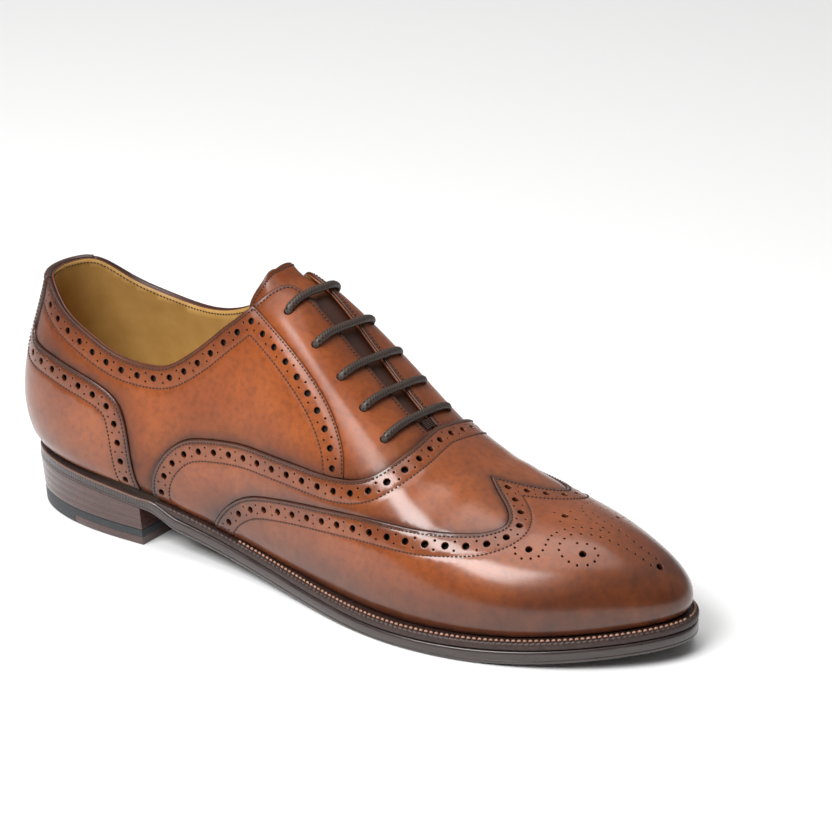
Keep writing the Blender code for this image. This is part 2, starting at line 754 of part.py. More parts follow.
def build_welt(collection):
    """A strip with a rounded outer edge, thinned to nothing at both ends."""
    lines = [u for u in sole_lines(float(TOE)) if u >= WELT_START]
    stations = [(u, 0) for u in lines] + [(u, 1) for u in reversed(lines[:-1])]
    bm = bmesh.new()
    rings = []
    for u, side in stations:
        edge = edge_width[side](u)
        foot_x = section_columns(u, side)[0]
        top = foot_height(foot_x) - GAP
        low = rim_top(foot_x) + GAP
        chamfer = min(EDGE_ROUND, 0.35 * (top - low))
        profile = [(WELT_INSIDE, low), (edge - chamfer, low), (edge, low + chamfer), (edge, top - chamfer),
                   (edge - chamfer, top), (WELT_INSIDE, top)]
        ring = []
        for outset, z in profile:
            x, y, _ = rim_point(u, side, outset)
            ring.append(bm.verts.new(to_part((x, y, z))))
        rings.append(ring)
    for a, b in zip(rings, rings[1:]):
        for i in range(len(a)):
            j = (i + 1) % len(a)
            bm.faces.new((a[i], a[j], b[j], b[i]))
    bm.faces.new(rings[0])
    bm.faces.new(rings[-1])
    bmesh.ops.recalc_face_normals(bm, faces=bm.faces)
    mesh = bpy.data.meshes.new("welt")
    bm.to_mesh(mesh)
    bm.free()
    add_object("welt", mesh, WELT_BROWN, collection)


def build_insole(collection):
    lines = sole_lines(float(TOE))
    edge = steady(INSOLE_INSIDE)
    loops = [
        edge_loop(lines, edge, foot_height),
        edge_loop(lines, edge, shifted(foot_height, INSOLE_THICK)),
    ]
    loft("insole", loops, LINING, collection)


def heel_edge(height, top):
    """Outset of the heel block at a height: it narrows to the floor."""
    return edge_less(HEEL_TAPER * (1 - min(height / top, 1.0)))


def build_heel(collection, cutters):
    """Stacked block, rubber top piece and its leather front."""
    lines = sole_lines(BREAST)
    seat = foot_height(SECTIONS[0].foot_x)
    low = TOP_PIECE + GAP
    stack = [edge_loop(lines, heel_edge(low, seat), steady(low)),
             edge_loop(lines, heel_edge(seat, seat), shifted(sole_under, -GAP))]
    loft("heel_stack", stack, SOLE_BROWN, collection)
    block = [edge_loop(lines, heel_edge(0.0, seat), steady(0.0)),
             edge_loop(lines, heel_edge(TOP_PIECE, seat), steady(TOP_PIECE))]
    rubber = loft("heel_rubber", block, RUBBER_GREY, collection)
    tip = loft("heel_leather_tip", block, SOLE_BROWN, collection)
    tip_top = TOP_PIECE - RUBBER_LAYER
    cut_box(rubber, "DIFFERENCE", "rubber_step", TIP_START - GAP, tip_top + GAP, cutters)
    cut_box(tip, "INTERSECT", "tip_block", TIP_START, tip_top, cutters)


def cut_box(obj, operation, name, back, top, cutters):
    """Cut a piece with a box from x = back forward and from below the floor up to top."""
    front = 90.0
    half_width = 60.0
    below = -10.0
    low = to_part((back, -half_width, below))
    high = to_part((front, half_width, top))
    bpy.ops.mesh.primitive_cube_add(size=1.0, location=(low + high) / 2)
    box = bpy.context.object
    box.name = name
    box.scale = high - low
    box.hide_render = True
    box.display_type = "WIRE"
    for owner in list(box.users_collection):
        owner.objects.unlink(box)
    cutters.objects.link(box)
    cut = obj.modifiers.new(name, "BOOLEAN")
    cut.operation = operation
    cut.object = box


def main():
    for obj in list(bpy.data.objects):
        bpy.data.objects.remove(obj, do_unlink=True)
    parts = bpy.data.collections.new(OBJECT_NAME)
    cutters = bpy.data.collections.new("cutters")
    bpy.context.scene.collection.children.link(parts)
    bpy.context.scene.collection.children.link(cutters)
    build_outsole(parts)
    build_welt(parts)
    build_heel(parts, cutters)
    build_insole(parts)
    build_upper(parts, cutters)
    build_panels(parts)
    build_tongue(parts)
    build_laces(parts)


main()
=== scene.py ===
"""Looks of a right-foot wing-tip brogue oxford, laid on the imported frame.

Pattern points are (u, w): u counts sections of the last from the heel, w runs from the outer foot line 0
over the crest 1 to the inner foot line 2. At the heel, negative u is the inner side.
Tables are in millimetres, with x counted from the back of the heel, until to_part() makes them metres.
"""
import math
from collections import namedtuple

import bpy
import bmesh
import numpy as np
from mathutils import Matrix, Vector, kdtree
from mathutils.geometry import delaunay_2d_cdt


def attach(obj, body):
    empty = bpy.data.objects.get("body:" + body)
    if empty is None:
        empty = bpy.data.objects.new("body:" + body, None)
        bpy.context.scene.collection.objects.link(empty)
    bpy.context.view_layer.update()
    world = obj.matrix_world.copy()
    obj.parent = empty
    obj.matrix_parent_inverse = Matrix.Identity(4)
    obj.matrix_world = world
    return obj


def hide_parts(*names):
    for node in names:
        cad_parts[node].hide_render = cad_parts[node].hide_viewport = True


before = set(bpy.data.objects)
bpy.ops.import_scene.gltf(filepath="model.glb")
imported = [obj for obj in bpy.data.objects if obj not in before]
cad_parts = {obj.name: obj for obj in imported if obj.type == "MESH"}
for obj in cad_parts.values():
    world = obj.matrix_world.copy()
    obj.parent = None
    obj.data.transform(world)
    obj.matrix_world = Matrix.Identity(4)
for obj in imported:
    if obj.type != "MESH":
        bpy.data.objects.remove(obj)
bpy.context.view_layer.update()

# Frame
MM = 0.001
ORIGIN_X = 141.66
ORIGIN_Y = -1.12

# Sections of the last, from the back of the heel to the tip of the toe
Section = namedtuple(
    "Section", "name foot_x foot_out foot_in top_x top_mid top_half top_z belly wall crown crown_in")
SECTIONS = [
    Section("heel back", 2, 0, 0, 5, 0, 0, 104, 6.5, 0.0, 0.0, 0.0),
    Section("heel corner", 10, -17, 17, 12, 0, 14, 104, 6.5, 0.0, 0.0, 0.0),
    Section("heel side", 34, -27, 26, 36, 0, 21, 104, 5.0, 0.0, 0.0, 0.0),
    Section("quarter", 64, -28, 24, 66, 0, 21, 107, 3.5, 0.1, 0.1, 0.1),
    Section("waist", 95, -27, 22.5, 96, -1, 13, 115, 3.0, 0.6, 0.5, 0.6),
    Section("instep", 125, -29, 24, 124, -3, 0, 116, 3.0, 1.0, 0.86, 0.85),
    Section("throat", 155, -34, 29, 152, -4, 0, 94, 2.5, 1.0, 0.87, 1.1),
    Section("ball", 185, -39, 37, 180, -3.5, 0, 70.5, 2.0, 1.0, 0.86, 0.75),
    Section("vamp", 214, -38, 37, 206, -1.5, 0, 53, 1.5, 1.1, 0.87, 0.95),
    Section("toe side", 243, -29, 33.5, 231, 1, 0, 45, 1.5, 1.1, 0.87, 0.93),
    Section("toe corner", 268.5, -12, 23, 254, 4, 0, 42, 1.5, 1.1, 0.86, 0.65),
    Section("toe tip", 281.5, 8, 8, 267, 8, 0, 37, 2.0, 1.0, 0.80, 0.80),
]
TOE = float(len(SECTIONS) - 1)
ON_SEAM = 1e-6
CREST_CLOSES = (4.2, 5.0)
CREST_SLOPE = (4.0, 10.6)
FOOT_HEIGHT = [
    (2, 26), (34, 25), (64, 22.5), (100, 17), (140, 11.5), (180, 9), (210, 9), (245, 11), (285, 16),
]
CREST_STEP = 0.2
WALL_RISE = 0.22
SWELL_PEAK = 6.75
TURN_IN = 3.0
TURN_HEIGHT = 2.5
RIDGE_LEAN = (-4.2, 6.0, -3.2)
RIDGE_OUT = (0.66, 0.98)
RIDGE_IN = (0.25, 0.8)
RIDGE_STARTS = (4.2, 5.0)
RIDGE_ENDS = (5.7, 8.4)

# Pattern lines, (u, r): r runs from foot line 0 to crest 1. The top line has an r for each side.
TOP_LINE = [
    (0.0, 0.735, 0.735), (0.5, 0.735, 0.735), (1.0, 0.720, 0.720), (1.55, 0.635, 0.630),
    (2.1, 0.570, 0.578), (2.65, 0.512, 0.555), (3.1, 0.488, 0.553), (3.4, 0.488, 0.566),
    (3.6, 0.510, 0.583), (3.9, 0.558, 0.620), (4.2, 0.620, 0.660), (4.5, 0.695, 0.712),
    (4.75, 0.810, 0.815), (4.92, 0.880, 0.880), (5.15, 0.907, 0.907), (5.8, 0.935, 0.935),
    (6.4, 0.952, 0.952), (7.0, 0.960, 0.960), (7.2, 0.975, 0.975), (7.3, 1.0, 1.0),
]
THROAT_END = 7.3
COUNTER_NECK = 0.88
COUNTER_LINE = [
    (0.91, 0.63), (0.89, 0.53), (0.93, 0.47), (1.07, 0.45), (1.46, 0.438), (1.92, 0.42), (2.29, 0.40),
    (2.57, 0.374), (2.78, 0.33), (2.91, 0.253), (2.98, 0.157), (3.06, 0.02),
]
VAMP_LINE = [
    (3.26, 0.02), (3.32, 0.11), (3.42, 0.165), (3.57, 0.21), (3.77, 0.24), (4.0, 0.25), (4.35, 0.253),
    (4.7, 0.257), (5.15, 0.271), (5.6, 0.307), (6.05, 0.362), (6.31, 0.406), (6.5, 0.45), (6.7, 0.52),
    (6.92, 0.66), (7.07, 0.84), (7.12, 1.0),
]
WING_LINE = [
    (4.22, 0.02), (4.39, 0.067), (4.59, 0.104), (4.88, 0.137), (5.17, 0.16), (5.64, 0.204), (6.25, 0.279),
    (6.91, 0.378), (7.55, 0.484), (7.98, 0.574), (8.26, 0.64), (8.44, 0.704), (8.53, 0.763), (8.52, 0.823),
    (8.43, 0.88), (8.27, 0.932), (8.02, 1.0),
]
FACING_CORNER = 4.52
FACING_LINE = [
    (4.75, 0.66), (5.03, 0.636), (5.43, 0.624), (5.75, 0.612), (5.98, 0.585), (6.15, 0.539), (6.26, 0.482),
    (6.31, 0.406),
]
EYELETS = [(5.07, 0.75), (5.55, 0.745), (5.96, 0.75), (6.34, 0.745), (6.71, 0.722)]
EYELET_LEAD = 0.11
EYELET_RISE = 0.05
LACE_LEAD = 0.2
TONGUE_EDGE = [
    (7.4, 0.76), (6.85, 0.73), (6.1, 0.71), (5.6, 0.685), (5.25, 0.672), (5.0, 0.66), (4.75, 0.652),
    (4.52, 0.652), (4.38, 0.662), (4.31, 0.683), (4.33, 0.71), (4.42, 0.75), (4.53, 0.80), (4.605, 0.85),
    (4.66, 0.90), (4.69, 0.95), (4.70, 1.0),
]
TONGUE_RISE = [
    (4.3, 4.2), (4.46, 4.2), (4.54, 4.0), (4.66, 3.4), (4.82, 2.0), (5.0, 0.4), (5.3, 0.0), (7.6, 0.0),
]
TONGUE_LIFT = 0.12

# Sole outset from the foot line, by u
EDGE_OUT = [(0, 4.0), (3, 4.5), (5, 6.0), (7, 8.5), (9, 7.6), (11, 8.2)]
EDGE_IN = [(0, 4.0), (3, 4.0), (5, 4.5), (7, 6.5), (9, 7.5), (11, 8.2)]
GAP = 0.3
WELT_INSIDE = -4.0
WELT_THICK = 3.0
WELT_START = 3.3
OUTSOLE_THICK = 5.3
SEAT_FRONT = 68.5
WAIST_FRONT = 84.0
BREAST = 3.05
HEEL_TAPER = 2.0
TOP_PIECE = 6.4
RUBBER_LAYER = 3.0
TIP_START = 31.0

# Heights of the leather over the last: lining, facing, quarter, vamp and wing, one on another
LINING_IN = -2.0
LINING_OUT = -0.9
FACING_TOP = 0.0
QUARTER_TOP = 0.95
VAMP_TOP = 1.75
COUNTER_TOP = 1.75
WING_TOP = 2.3
PANEL_BASE = LINING_OUT + 0.05
EDGE_RADIUS = 0.5

# Paring of the quarters towards the facings: width, and height left at the edge
SKIVED = (4.0, 0.35)

# Distance of the lower edges from the foot line
COUNTER_FOOT = 2.0
QUARTER_FOOT = 1.4
VAMP_FOOT = 1.1
WING_FOOT = 1.5
LINING_FOOT = 0.4

# Meshes of the panels: spacing of their points, and of the lines that shape or colour them
JOIN_GAP = 0.3
PANEL_SPACING = 1.9
FACING_SPACING = 1.7
TONGUE_SPACING = 2.0
LINING_SPACING = 2.6
ROW_SPACING = 0.866
POINTS_APART = 0.6
MIN_SQUARE = 0.4
GROOVE_STEP = 0.8
GROOVE_MARGIN = 0.4
GROOVE_SAMPLE = 0.25
INK_SAMPLE = 0.3
WORN_SAMPLE = 0.8
SKIVE_SAMPLE = 0.4
SEAM_STEP = 0.5
SEAM_MARGIN = 0.35
WELD = 0.02

# Broguing: distances from the edge of a piece to its rows
EDGE_ROW = 1.3
HOLE_ROW = 4.75
INNER_ROW = 8.5
HOLE_RADIUS = 1.45
PIN_RADIUS = 0.55
PIN_OFFSET = 1.65
HOLE_PITCH = 7.5
HOLE_MARGIN = 1.1
HOLE_APART = 0.5
HOLE_SIDES = 14
PIN_SIDES = 8
HOLE_RING = 0.3
HOLE_FREE = 0.2
STITCH_PITCH = 1.55
STITCH_LONG = 1.05
STITCH_RADIUS = 0.31
STITCH_SIDES = 6
STITCH_ARCH = 0.5
STITCH_START = 0.3
STITCH_PROFILE = [(0.0, 0.35), (0.12, 0.8), (0.5, 1.0), (0.88, 0.8), (1.0, 0.35)]
GROOVE_HALF = 0.5
GROOVE_DEPTH = 0.22
GROOVE_SOFT = 0.38

# Colour along the edges: width of the ink, and depth and reaches of the burnish beside it
INK_WIDTH = (0.3, 0.7)
WORN_DEPTH = 0.45
WORN_REACH = (1.6, 9.0)

# Wax at toe and heel, and darkening towards the welt that is partly wax and partly painted shade on the low
# walls: how much, and from where to where it grows or fades
TOE_WAX = 0.58
TOE_WAX_FROM = (215, 280)
HEEL_WAX = 0.45
HEEL_WAX_TO = (-6, 55)
WELT_WAX_AND_SHADE = 0.35
FRONT_WAX_AND_SHADE = 0.45
FRONT_WAX_AND_SHADE_FROM = (60, 170)
WELT_WAX_AND_SHADE_TO = (5, 26)
MOST_WAX_AND_SHADE = 0.85

# Millimetres of a pattern step, about, for spreading the pattern flat
SPAN_U = 28.0
SPAN_W = 80.0
SPREAD = np.array((SPAN_U, SPAN_W))


def natural_spline(knots):
    """Smooth function through a short list of knots, for arrays."""
    xs, ys = np.array(knots, float).T
    step = np.diff(xs)
    matrix = np.eye(len(xs))
    rhs = np.zeros(len(xs))
    for i in range(1, len(xs) - 1):
        matrix[i, i - 1:i + 2] = step[i - 1], 2 * (step[i - 1] + step[i]), step[i]
        rhs[i] = 6 * ((ys[i + 1] - ys[i]) / step[i] - (ys[i] - ys[i - 1]) / step[i - 1])
    bend = np.linalg.solve(matrix, rhs)

    def value(x):
        x = np.asarray(x, float)
        i = np.clip(np.searchsorted(xs, x) - 1, 0, len(step) - 1)
        size = step[i]
        before = x - xs[i]
        after = xs[i + 1] - x
        curve = (bend[i] * after ** 3 + bend[i + 1] * before ** 3) / (6 * size)
        start = (ys[i] / size - bend[i] * size / 6) * after
        end = (ys[i + 1] / size - bend[i + 1] * size / 6) * before
        return curve + start + end

    return value


def loop_spline(rows):
    """Smooth closed function of the row number through rows of columns, for arrays."""
    values = np.array(rows, float)
    count = len(values)
    unit = np.eye(count)
    matrix = 4 * unit + np.roll(unit, 1, 0) + np.roll(unit, -1, 0)
    bend = np.linalg.solve(matrix, 6 * (np.roll(values, -1, 0) - 2 * values + np.roll(values, 1, 0)))

    def value(u):
        whole = np.floor(u).astype(int)
        i = whole % count
        j = (i + 1) % count
        t = (u - whole)[:, None]
        s = 1 - t
        return s * values[i] + t * values[j] + ((s ** 3 - s) * bend[i] + (t ** 3 - t) * bend[j]) / 6

    return value


def smoothstep(x, start, end):
    t = np.clip((x - start) / (end - start), 0.0, 1.0)
    return t * t * (3 - 2 * t)


def array_1d(values):
    return np.atleast_1d(np.asarray(values, float))


def unit(vectors):
    return vectors / np.linalg.norm(vectors, axis=1)[:, None]


def last_columns():
    outer = [(s.foot_x, s.foot_out, s.top_x, s.top_mid - s.top_half, s.top_z, s.belly, s.wall, s.crown)
             for s in SECTIONS]
    inner = [(s.foot_x, s.foot_in, s.top_x, s.top_mid + s.top_half, s.top_z, s.belly, s.wall, s.crown_in)
             for s in SECTIONS[-2:0:-1]]
    return loop_spline(outer + inner)


foot_height = natural_spline(FOOT_HEIGHT)
columns = last_columns()
top_line = [natural_spline([(row[0], row[1 + side]) for row in TOP_LINE]) for side in (0, 1)]
edge_width = [natural_spline(EDGE_OUT), natural_spline(EDGE_IN)]
tongue_rise = natural_spline(TONGUE_RISE)


def section_columns(u, side):
    u = array_1d(u)
    return columns(u if side == 0 else 2 * TOE - u)


def surface(u, r, side, closed=False):
    """Points of the last, (N, 3), in millimetres."""
    u = np.asarray(u, float)
    r = np.asarray(r, float)
    foot_x, foot_y, top_x, top_y, top_z, belly, wall, crown = section_columns(u, side).T
    top_mid = (top_y + section_columns(u, 1 - side)[:, 3]) / 2
    spread = 0.0 if closed else 1 - smoothstep(u, *CREST_CLOSES)
    top_y = top_mid + (top_y - top_mid) * spread
    middle = np.clip(u, *CREST_SLOPE)
    ahead = section_columns(middle + CREST_STEP, 0)
    behind = section_columns(middle - CREST_STEP, 0)
    slope = (ahead[:, 4] - behind[:, 4]) / (ahead[:, 2] - behind[:, 2])
    foot_z = foot_height(foot_x)
    v = 1 - r
    low = 3 * v * v * r
    high = 3 * v * r * r
    end = r ** 3
    run_x = top_x - foot_x
    run_y = top_y - foot_y
    run = np.maximum(np.hypot(run_x, run_y), 1e-6)
    lean = crown * slope * run_x / (top_z - foot_z)
    across = low * (1 - wall) / 3 + high * (1 - crown) + end
    rise = low * (1 / 3 + WALL_RISE * wall) + high * (1 - lean) + end
    height = rise * (top_z - foot_z)
    turn = TURN_IN * (1 - np.exp(-height / TURN_HEIGHT)) * (1 - rise)
    swell = belly * SWELL_PEAK * rise * (1 - rise) ** 2 + turn
    lean = smoothstep(u, *RIDGE_STARTS) * (1 - smoothstep(u, *RIDGE_ENDS))
    lean = lean * smoothstep(r, *(RIDGE_IN if side else RIDGE_OUT))
    return np.stack((
        foot_x + run_x * across - swell * run_x / run,
        foot_y + run_y * across - swell * run_y / run,
        foot_z + height,
    ), axis=1) + np.outer(lean, RIDGE_LEAN)


def sheet(u, w, closed=False):
    """Points of the last by pattern (u, w)."""
    u = array_1d(u)
    w = array_1d(w)
    inner = w > 1
    points = surface(u, np.where(inner, 1.0, w), 0, closed)
    if inner.any():
        points[inner] = surface(u[inner], 2 - w[inner], 1, closed)
    return points


def tongue_sheet(u, w):
    """The last with a closed crest, lifted in the middle above the facings."""
    u = array_1d(u)
    w = array_1d(w)
    points = sheet(u, w, closed=True)
    free = np.maximum(top_line[0](u), top_line[1](u))
    r = 1 - np.abs(1 - w)
    points[:, 2] += tongue_rise(u) * smoothstep(r, free, free + TONGUE_LIFT)
    return points


# Where the toe's sections meet: reach of the smooth normals, crest line, reach and rounds of the averaging,
# and how near the tip itself, in pattern steps, a normal is taken from a little way back
POLE_NEAR = 4.0
POLE_FAR = 8.0
POLE_CREST = 10.6
POLE_EVEN = 3.6
POLE_ROUNDS = 120
TIP_NEAR = 0.02
TIP_BACK = 0.1


def height_terms(aside):
    x, y = aside.T
    return np.stack((np.ones(len(x)), x, y, x * x, x * y, y * y), axis=1)


def fit_pole():
    """Point where the toe's sections meet, and a smooth height of the leather around it."""
    u, w = np.meshgrid(np.linspace(TOE - 1.5, TOE, 31), np.linspace(0.75, 1.25, 51))
    points = sheet(u.ravel(), w.ravel())
    pole = sheet(TOE, 1.0)[0]
    aside = points[:, :2] - pole[:2]
    near = np.linalg.norm(aside, axis=1) < POLE_FAR
    return pole, np.linalg.lstsq(height_terms(aside[near]), points[near, 2], rcond=None)[0]


POLE, POLE_HEIGHT = fit_pole()


def calm_pole(points, normal):
    """Normals blended into the smooth ones where the toe's sections crowd together."""
    aside = points[:, :2] - POLE[:2]
    share = 1 - smoothstep(np.linalg.norm(points - POLE, axis=1), POLE_NEAR, POLE_FAR)
    _, by_x, by_y, by_xx, by_xy, by_yy = POLE_HEIGHT
    x, y = aside.T
    smooth = np.stack((
        -by_x - 2 * by_xx * x - by_xy * y,
        -by_y - by_xy * x - 2 * by_yy * y,
        np.ones(len(x)),
    ), axis=1)
    return normal + (unit(smooth) - normal) * share[:, None]


def frames(u, w, place=sheet):
    """Point, the two tangents and the outward normal of a pattern sheet."""
    step = 0.004
    u = array_1d(u)
    w = array_1d(w)
    along = (place(u + step, w) - place(u - step, w)) / (2 * step)
    up = (place(u, w + step) - place(u, w - step)) / (2 * step)
    normal = np.cross(along, up)
    tip = (u > TOE - TIP_NEAR) & (np.abs(w - 1) < TIP_NEAR)
    if tip.any():
        back = np.full(int(tip.sum()), TOE - TIP_BACK)
        crest = np.ones(len(back))
        normal[tip] = np.cross(place(back + step, crest) - place(back - step, crest),
                               place(back, crest + step) - place(back, crest - step))
    points = place(u, w)
    return points, along, up, unit(calm_pole(points, unit(normal)))


def to_part(points):
    points = np.atleast_2d(points)
    return (points - np.array((ORIGIN_X, ORIGIN_Y, 0.0))) * MM


def flat(line):
    return np.asarray(line, float) * SPREAD


def lengths(points):
    steps = np.linalg.norm(np.diff(points, axis=0), axis=1)
    return np.concatenate(([0.0], np.cumsum(steps)))


def smooth_line(knots):
    """Pattern points on a smooth curve through knots, about a millimetre apart."""
    along = lengths(flat(knots))
    curve_u = natural_spline(list(zip(along, [k[0] for k in knots])))
    curve_w = natural_spline(list(zip(along, [k[1] for k in knots])))
    s = np.linspace(0, along[-1], max(2, round(along[-1])) + 1)
    return np.stack((curve_u(s), curve_w(s)), axis=1)


def resample(line, positions, place=sheet):
    """Pattern points at these distances along a line, in true millimetres."""
    along = lengths(place(line[:, 0], line[:, 1]))
    return np.stack([np.interp(positions, along, line[:, k]) for k in (0, 1)], axis=1)


def true_length(line, place=sheet):
    return lengths(place(line[:, 0], line[:, 1]))[-1]


def even(line, spacing, place=sheet):
    total = true_length(line, place)
    return resample(line, np.linspace(0, total, max(2, round(total / spacing)) + 1), place)


def sideways(line, place=sheet):
    """Pattern step that moves one millimetre to the left of a line on the surface."""
    _, along, up, _ = frames(line[:, 0], line[:, 1], place)
    a, b = np.gradient(line, axis=0).T
    e = (along * along).sum(1)
    f = (along * up).sum(1)
    g = (up * up).sum(1)
    c = -(a * f + b * g)
    d = a * e + b * f
    size = np.sqrt(np.maximum(c * c * e + 2 * c * d * f + d * d * g, 1e-12))
    return np.stack((c / size, d / size), axis=1)


def offset(line, distance, place=sheet):
    """A line moved to its left by true millimetres."""
    moved = line
    for _ in range(4):
        moved = moved + sideways(moved, place) * distance / 4
    return moved


def mirrored(line):
    """The same pattern line on the inner side."""
    line = np.asarray(line, float)
    return np.stack((line[:, 0], 2 - line[:, 1]), axis=1)


def crossing(a, b):
    """First crossing of two pattern lines: (index in a, index in b, point), or None."""
    p = flat(a)
    q = flat(b)
    for i in range(len(p) - 1, 0, -1):
        d = p[i] - p[i - 1]
        e = q[1:] - q[:-1]
        det = d[0] * e[:, 1] - d[1] * e[:, 0]
        det = np.where(np.abs(det) < 1e-9, 1e-9, det)
        gap = q[:-1] - p[i - 1]
        t = (gap[:, 0] * e[:, 1] - gap[:, 1] * e[:, 0]) / det
        s = (gap[:, 0] * d[1] - gap[:, 1] * d[0]) / det
        hit = np.nonzero((t >= 0) & (t <= 1) & (s >= 0) & (s <= 1))[0]
        if len(hit):
            j = int(hit[0])
            return i, j + 1, np.asarray(a[i - 1]) + t[j] * (np.asarray(a[i]) - np.asarray(a[i - 1]))
    return None


def meet(a, b):
    """Cut the end of a and the start of b where they cross."""
    found = crossing(a, b)
    if found is None:
        middle = (a[-1] + b[0]) / 2
        return np.vstack((a, [middle])), np.vstack(([middle], b))
    i, j, point = found
    return np.vstack((a[:i], [point])), np.vstack(([point], b[j:]))


def inside(polygon, points):
    """Which spread points lie inside a closed spread polygon."""
    result = np.zeros(len(points), bool)
    following = np.roll(polygon, -1, axis=0)
    for (ax, ay), (bx, by) in zip(polygon, following):
        if ay == by:
            continue
        spans = (ay > points[:, 1]) != (by > points[:, 1])
        result ^= spans & (points[:, 0] < ax + (bx - ax) * (points[:, 1] - ay) / (by - ay))
    return result


def tree_of(points):
    tree = kdtree.KDTree(len(points))
    for i, point in enumerate(points):
        tree.insert(Vector((point[0], point[1], point[2] if len(point) > 2 else 0.0)), i)
    tree.balance()
    return tree


def distances(tree, points):
    return np.array([tree.find(Vector((p[0], p[1], p[2] if len(p) > 2 else 0.0)))[2] for p in points])


def foot_row(u, side, height):
    """The r whose point lies this far above the foot line."""
    u = array_1d(u)
    low = np.zeros(len(u))
    high = np.full(len(u), 0.5)
    base = surface(u, low, side)[:, 2]
    for _ in range(24):
        middle = (low + high) / 2
        below = surface(u, middle, side)[:, 2] - base < height
        low = np.where(below, middle, low)
        high = np.where(below, high, middle)
    return high


def foot_point(u, side, height):
    r = float(foot_row(u, side, height)[0])
    return u, r if side == 0 else 2 - r


def u_steps(start, end):
    return np.linspace(start, end, max(2, round(abs(end - start) * SPAN_U)) + 1)


def foot_edge(start, end, side, height):
    """Lower edge of a panel as pattern points."""
    u = u_steps(start, end)
    r = foot_row(u, side, height)
    return np.stack((u, r if side == 0 else 2 - r), axis=1)


def top_edge(start, end, side):
    u = u_steps(start, end)
    r = np.minimum(top_line[side](u), 1.0)
    return np.stack((u, r if side == 0 else 2 - r), axis=1)


def straight_edge(start, end):
    count = max(2, round(float(np.linalg.norm(flat(np.array(end)) - flat(np.array(start))))))
    t = np.linspace(0, 1, count + 1)[:, None]
    return np.array(start) * (1 - t) + np.array(end) * t


def join_edges(*edges):
    """One closed outline from edges that follow each other."""
    outline = []
    for edge in edges:
        for point in edge:
            if not outline or np.linalg.norm(flat(point) - flat(outline[-1])) > JOIN_GAP:
                outline.append(np.asarray(point, float))
    if np.linalg.norm(flat(outline[0]) - flat(outline[-1])) < JOIN_GAP:
        outline.pop()
    return np.array(outline)


def inset(outline, distance, place=sheet, heel_seam=False):
    """Draw a closed outline in by true millimetres, but not from the joined seams at toe and heel."""
    spread = flat(outline)
    following = np.roll(spread, -1, axis=0)
    area = (spread[:, 0] * following[:, 1] - spread[:, 1] * following[:, 0]).sum()
    turn = 1.0 if area > 0 else -1.0
    wrapped = np.vstack((outline[-3:], outline, outline[:3]))
    moved = outline + turn * distance * sideways(wrapped, place)[3:-3]
    seam = np.abs(outline[:, 0] - TOE) < ON_SEAM
    if heel_seam:
        seam |= np.abs(outline[:, 0]) < ON_SEAM
    moved[seam] = outline[seam]
    return moved


# Materials
TAN_LIGHT = (0.34, 0.082, 0.014)
TAN_MIDDLE = (0.245, 0.052, 0.008)
TAN_DARK = (0.045, 0.011, 0.004)
EDGE_INK = (0.022, 0.011, 0.009)
NOTCH_SHADE = (0.02, 0.012, 0.010)
WHEEL_PITCH = 1.35


def node_tree(name):
    material = bpy.data.materials.new(name)
    material.use_nodes = True
    return material, material.node_tree, material.node_tree.nodes["Principled BSDF"]


def set_inputs(node, values):
    for key, value in values.items():
        node.inputs[key].default_value = value


def add_node(tree, kind, values=None, **settings):
    node = tree.nodes.new(kind)
    for key, value in settings.items():
        setattr(node, key, value)
    set_inputs(node, values or {})
    return node


def attribute(tree, name):
    return add_node(tree, "ShaderNodeAttribute", attribute_name=name).outputs["Fac"]


def feed(tree, socket, value):
    """Link another socket to this one, or set it to a number or an RGB."""
    if isinstance(value, bpy.types.NodeSocket):
        tree.links.new(value, socket)
    elif isinstance(value, (int, float)):
        socket.default_value = value
    else:
        socket.default_value = (*value, 1.0)


def mix_color(tree, factor, first, second):
    """Mix two colours, each a socket or an RGB, by a socket or number."""
    node = add_node(tree, "ShaderNodeMix", data_type="RGBA")
    for index, value in ((0, factor), (6, first), (7, second)):
        feed(tree, node.inputs[index], value)
    return node.outputs[2]


def math_node(tree, operation, first, second=0.5):
    node = add_node(tree, "ShaderNodeMath", operation=operation)
    for socket, value in zip(node.inputs, (first, second)):
        feed(tree, socket, value)
    return node.outputs[0]


def noise(tree, size_mm, detail=2.0, stretch=(1.0, 1.0, 1.0)):
    """Noise with features of about this size."""
    place = add_node(tree, "ShaderNodeTexCoord")
    scale = add_node(tree, "ShaderNodeMapping", {"Scale": stretch})
    tree.links.new(place.outputs["Object"], scale.inputs["Vector"])
    node = add_node(tree, "ShaderNodeTexNoise", {"Scale": 1000.0 / size_mm, "Detail": detail})
    tree.links.new(scale.outputs["Vector"], node.inputs["Vector"])
    return node.outputs["Fac"]


def remap(tree, value, low, high, new_low=0.0, new_high=1.0):
    node = add_node(tree, "ShaderNodeMapRange", {1: low, 2: high, 3: new_low, 4: new_high})
    tree.links.new(value, node.inputs[0])
    return node.outputs[0]


def bump(tree, shader, layers):
    """Chain of bumps: (height socket, strength, distance in mm)."""
    last = None
    for height, strength, depth in layers:
        node = add_node(tree, "ShaderNodeBump", {"Strength": strength, "Distance": depth * MM})
        tree.links.new(height, node.inputs["Height"])
        if last is not None:
            tree.links.new(last, node.inputs["Normal"])
        last = node.outputs["Normal"]
    tree.links.new(last, shader.inputs["Normal"])
    if "Coat Normal" in shader.inputs:
        tree.links.new(last, shader.inputs["Coat Normal"])


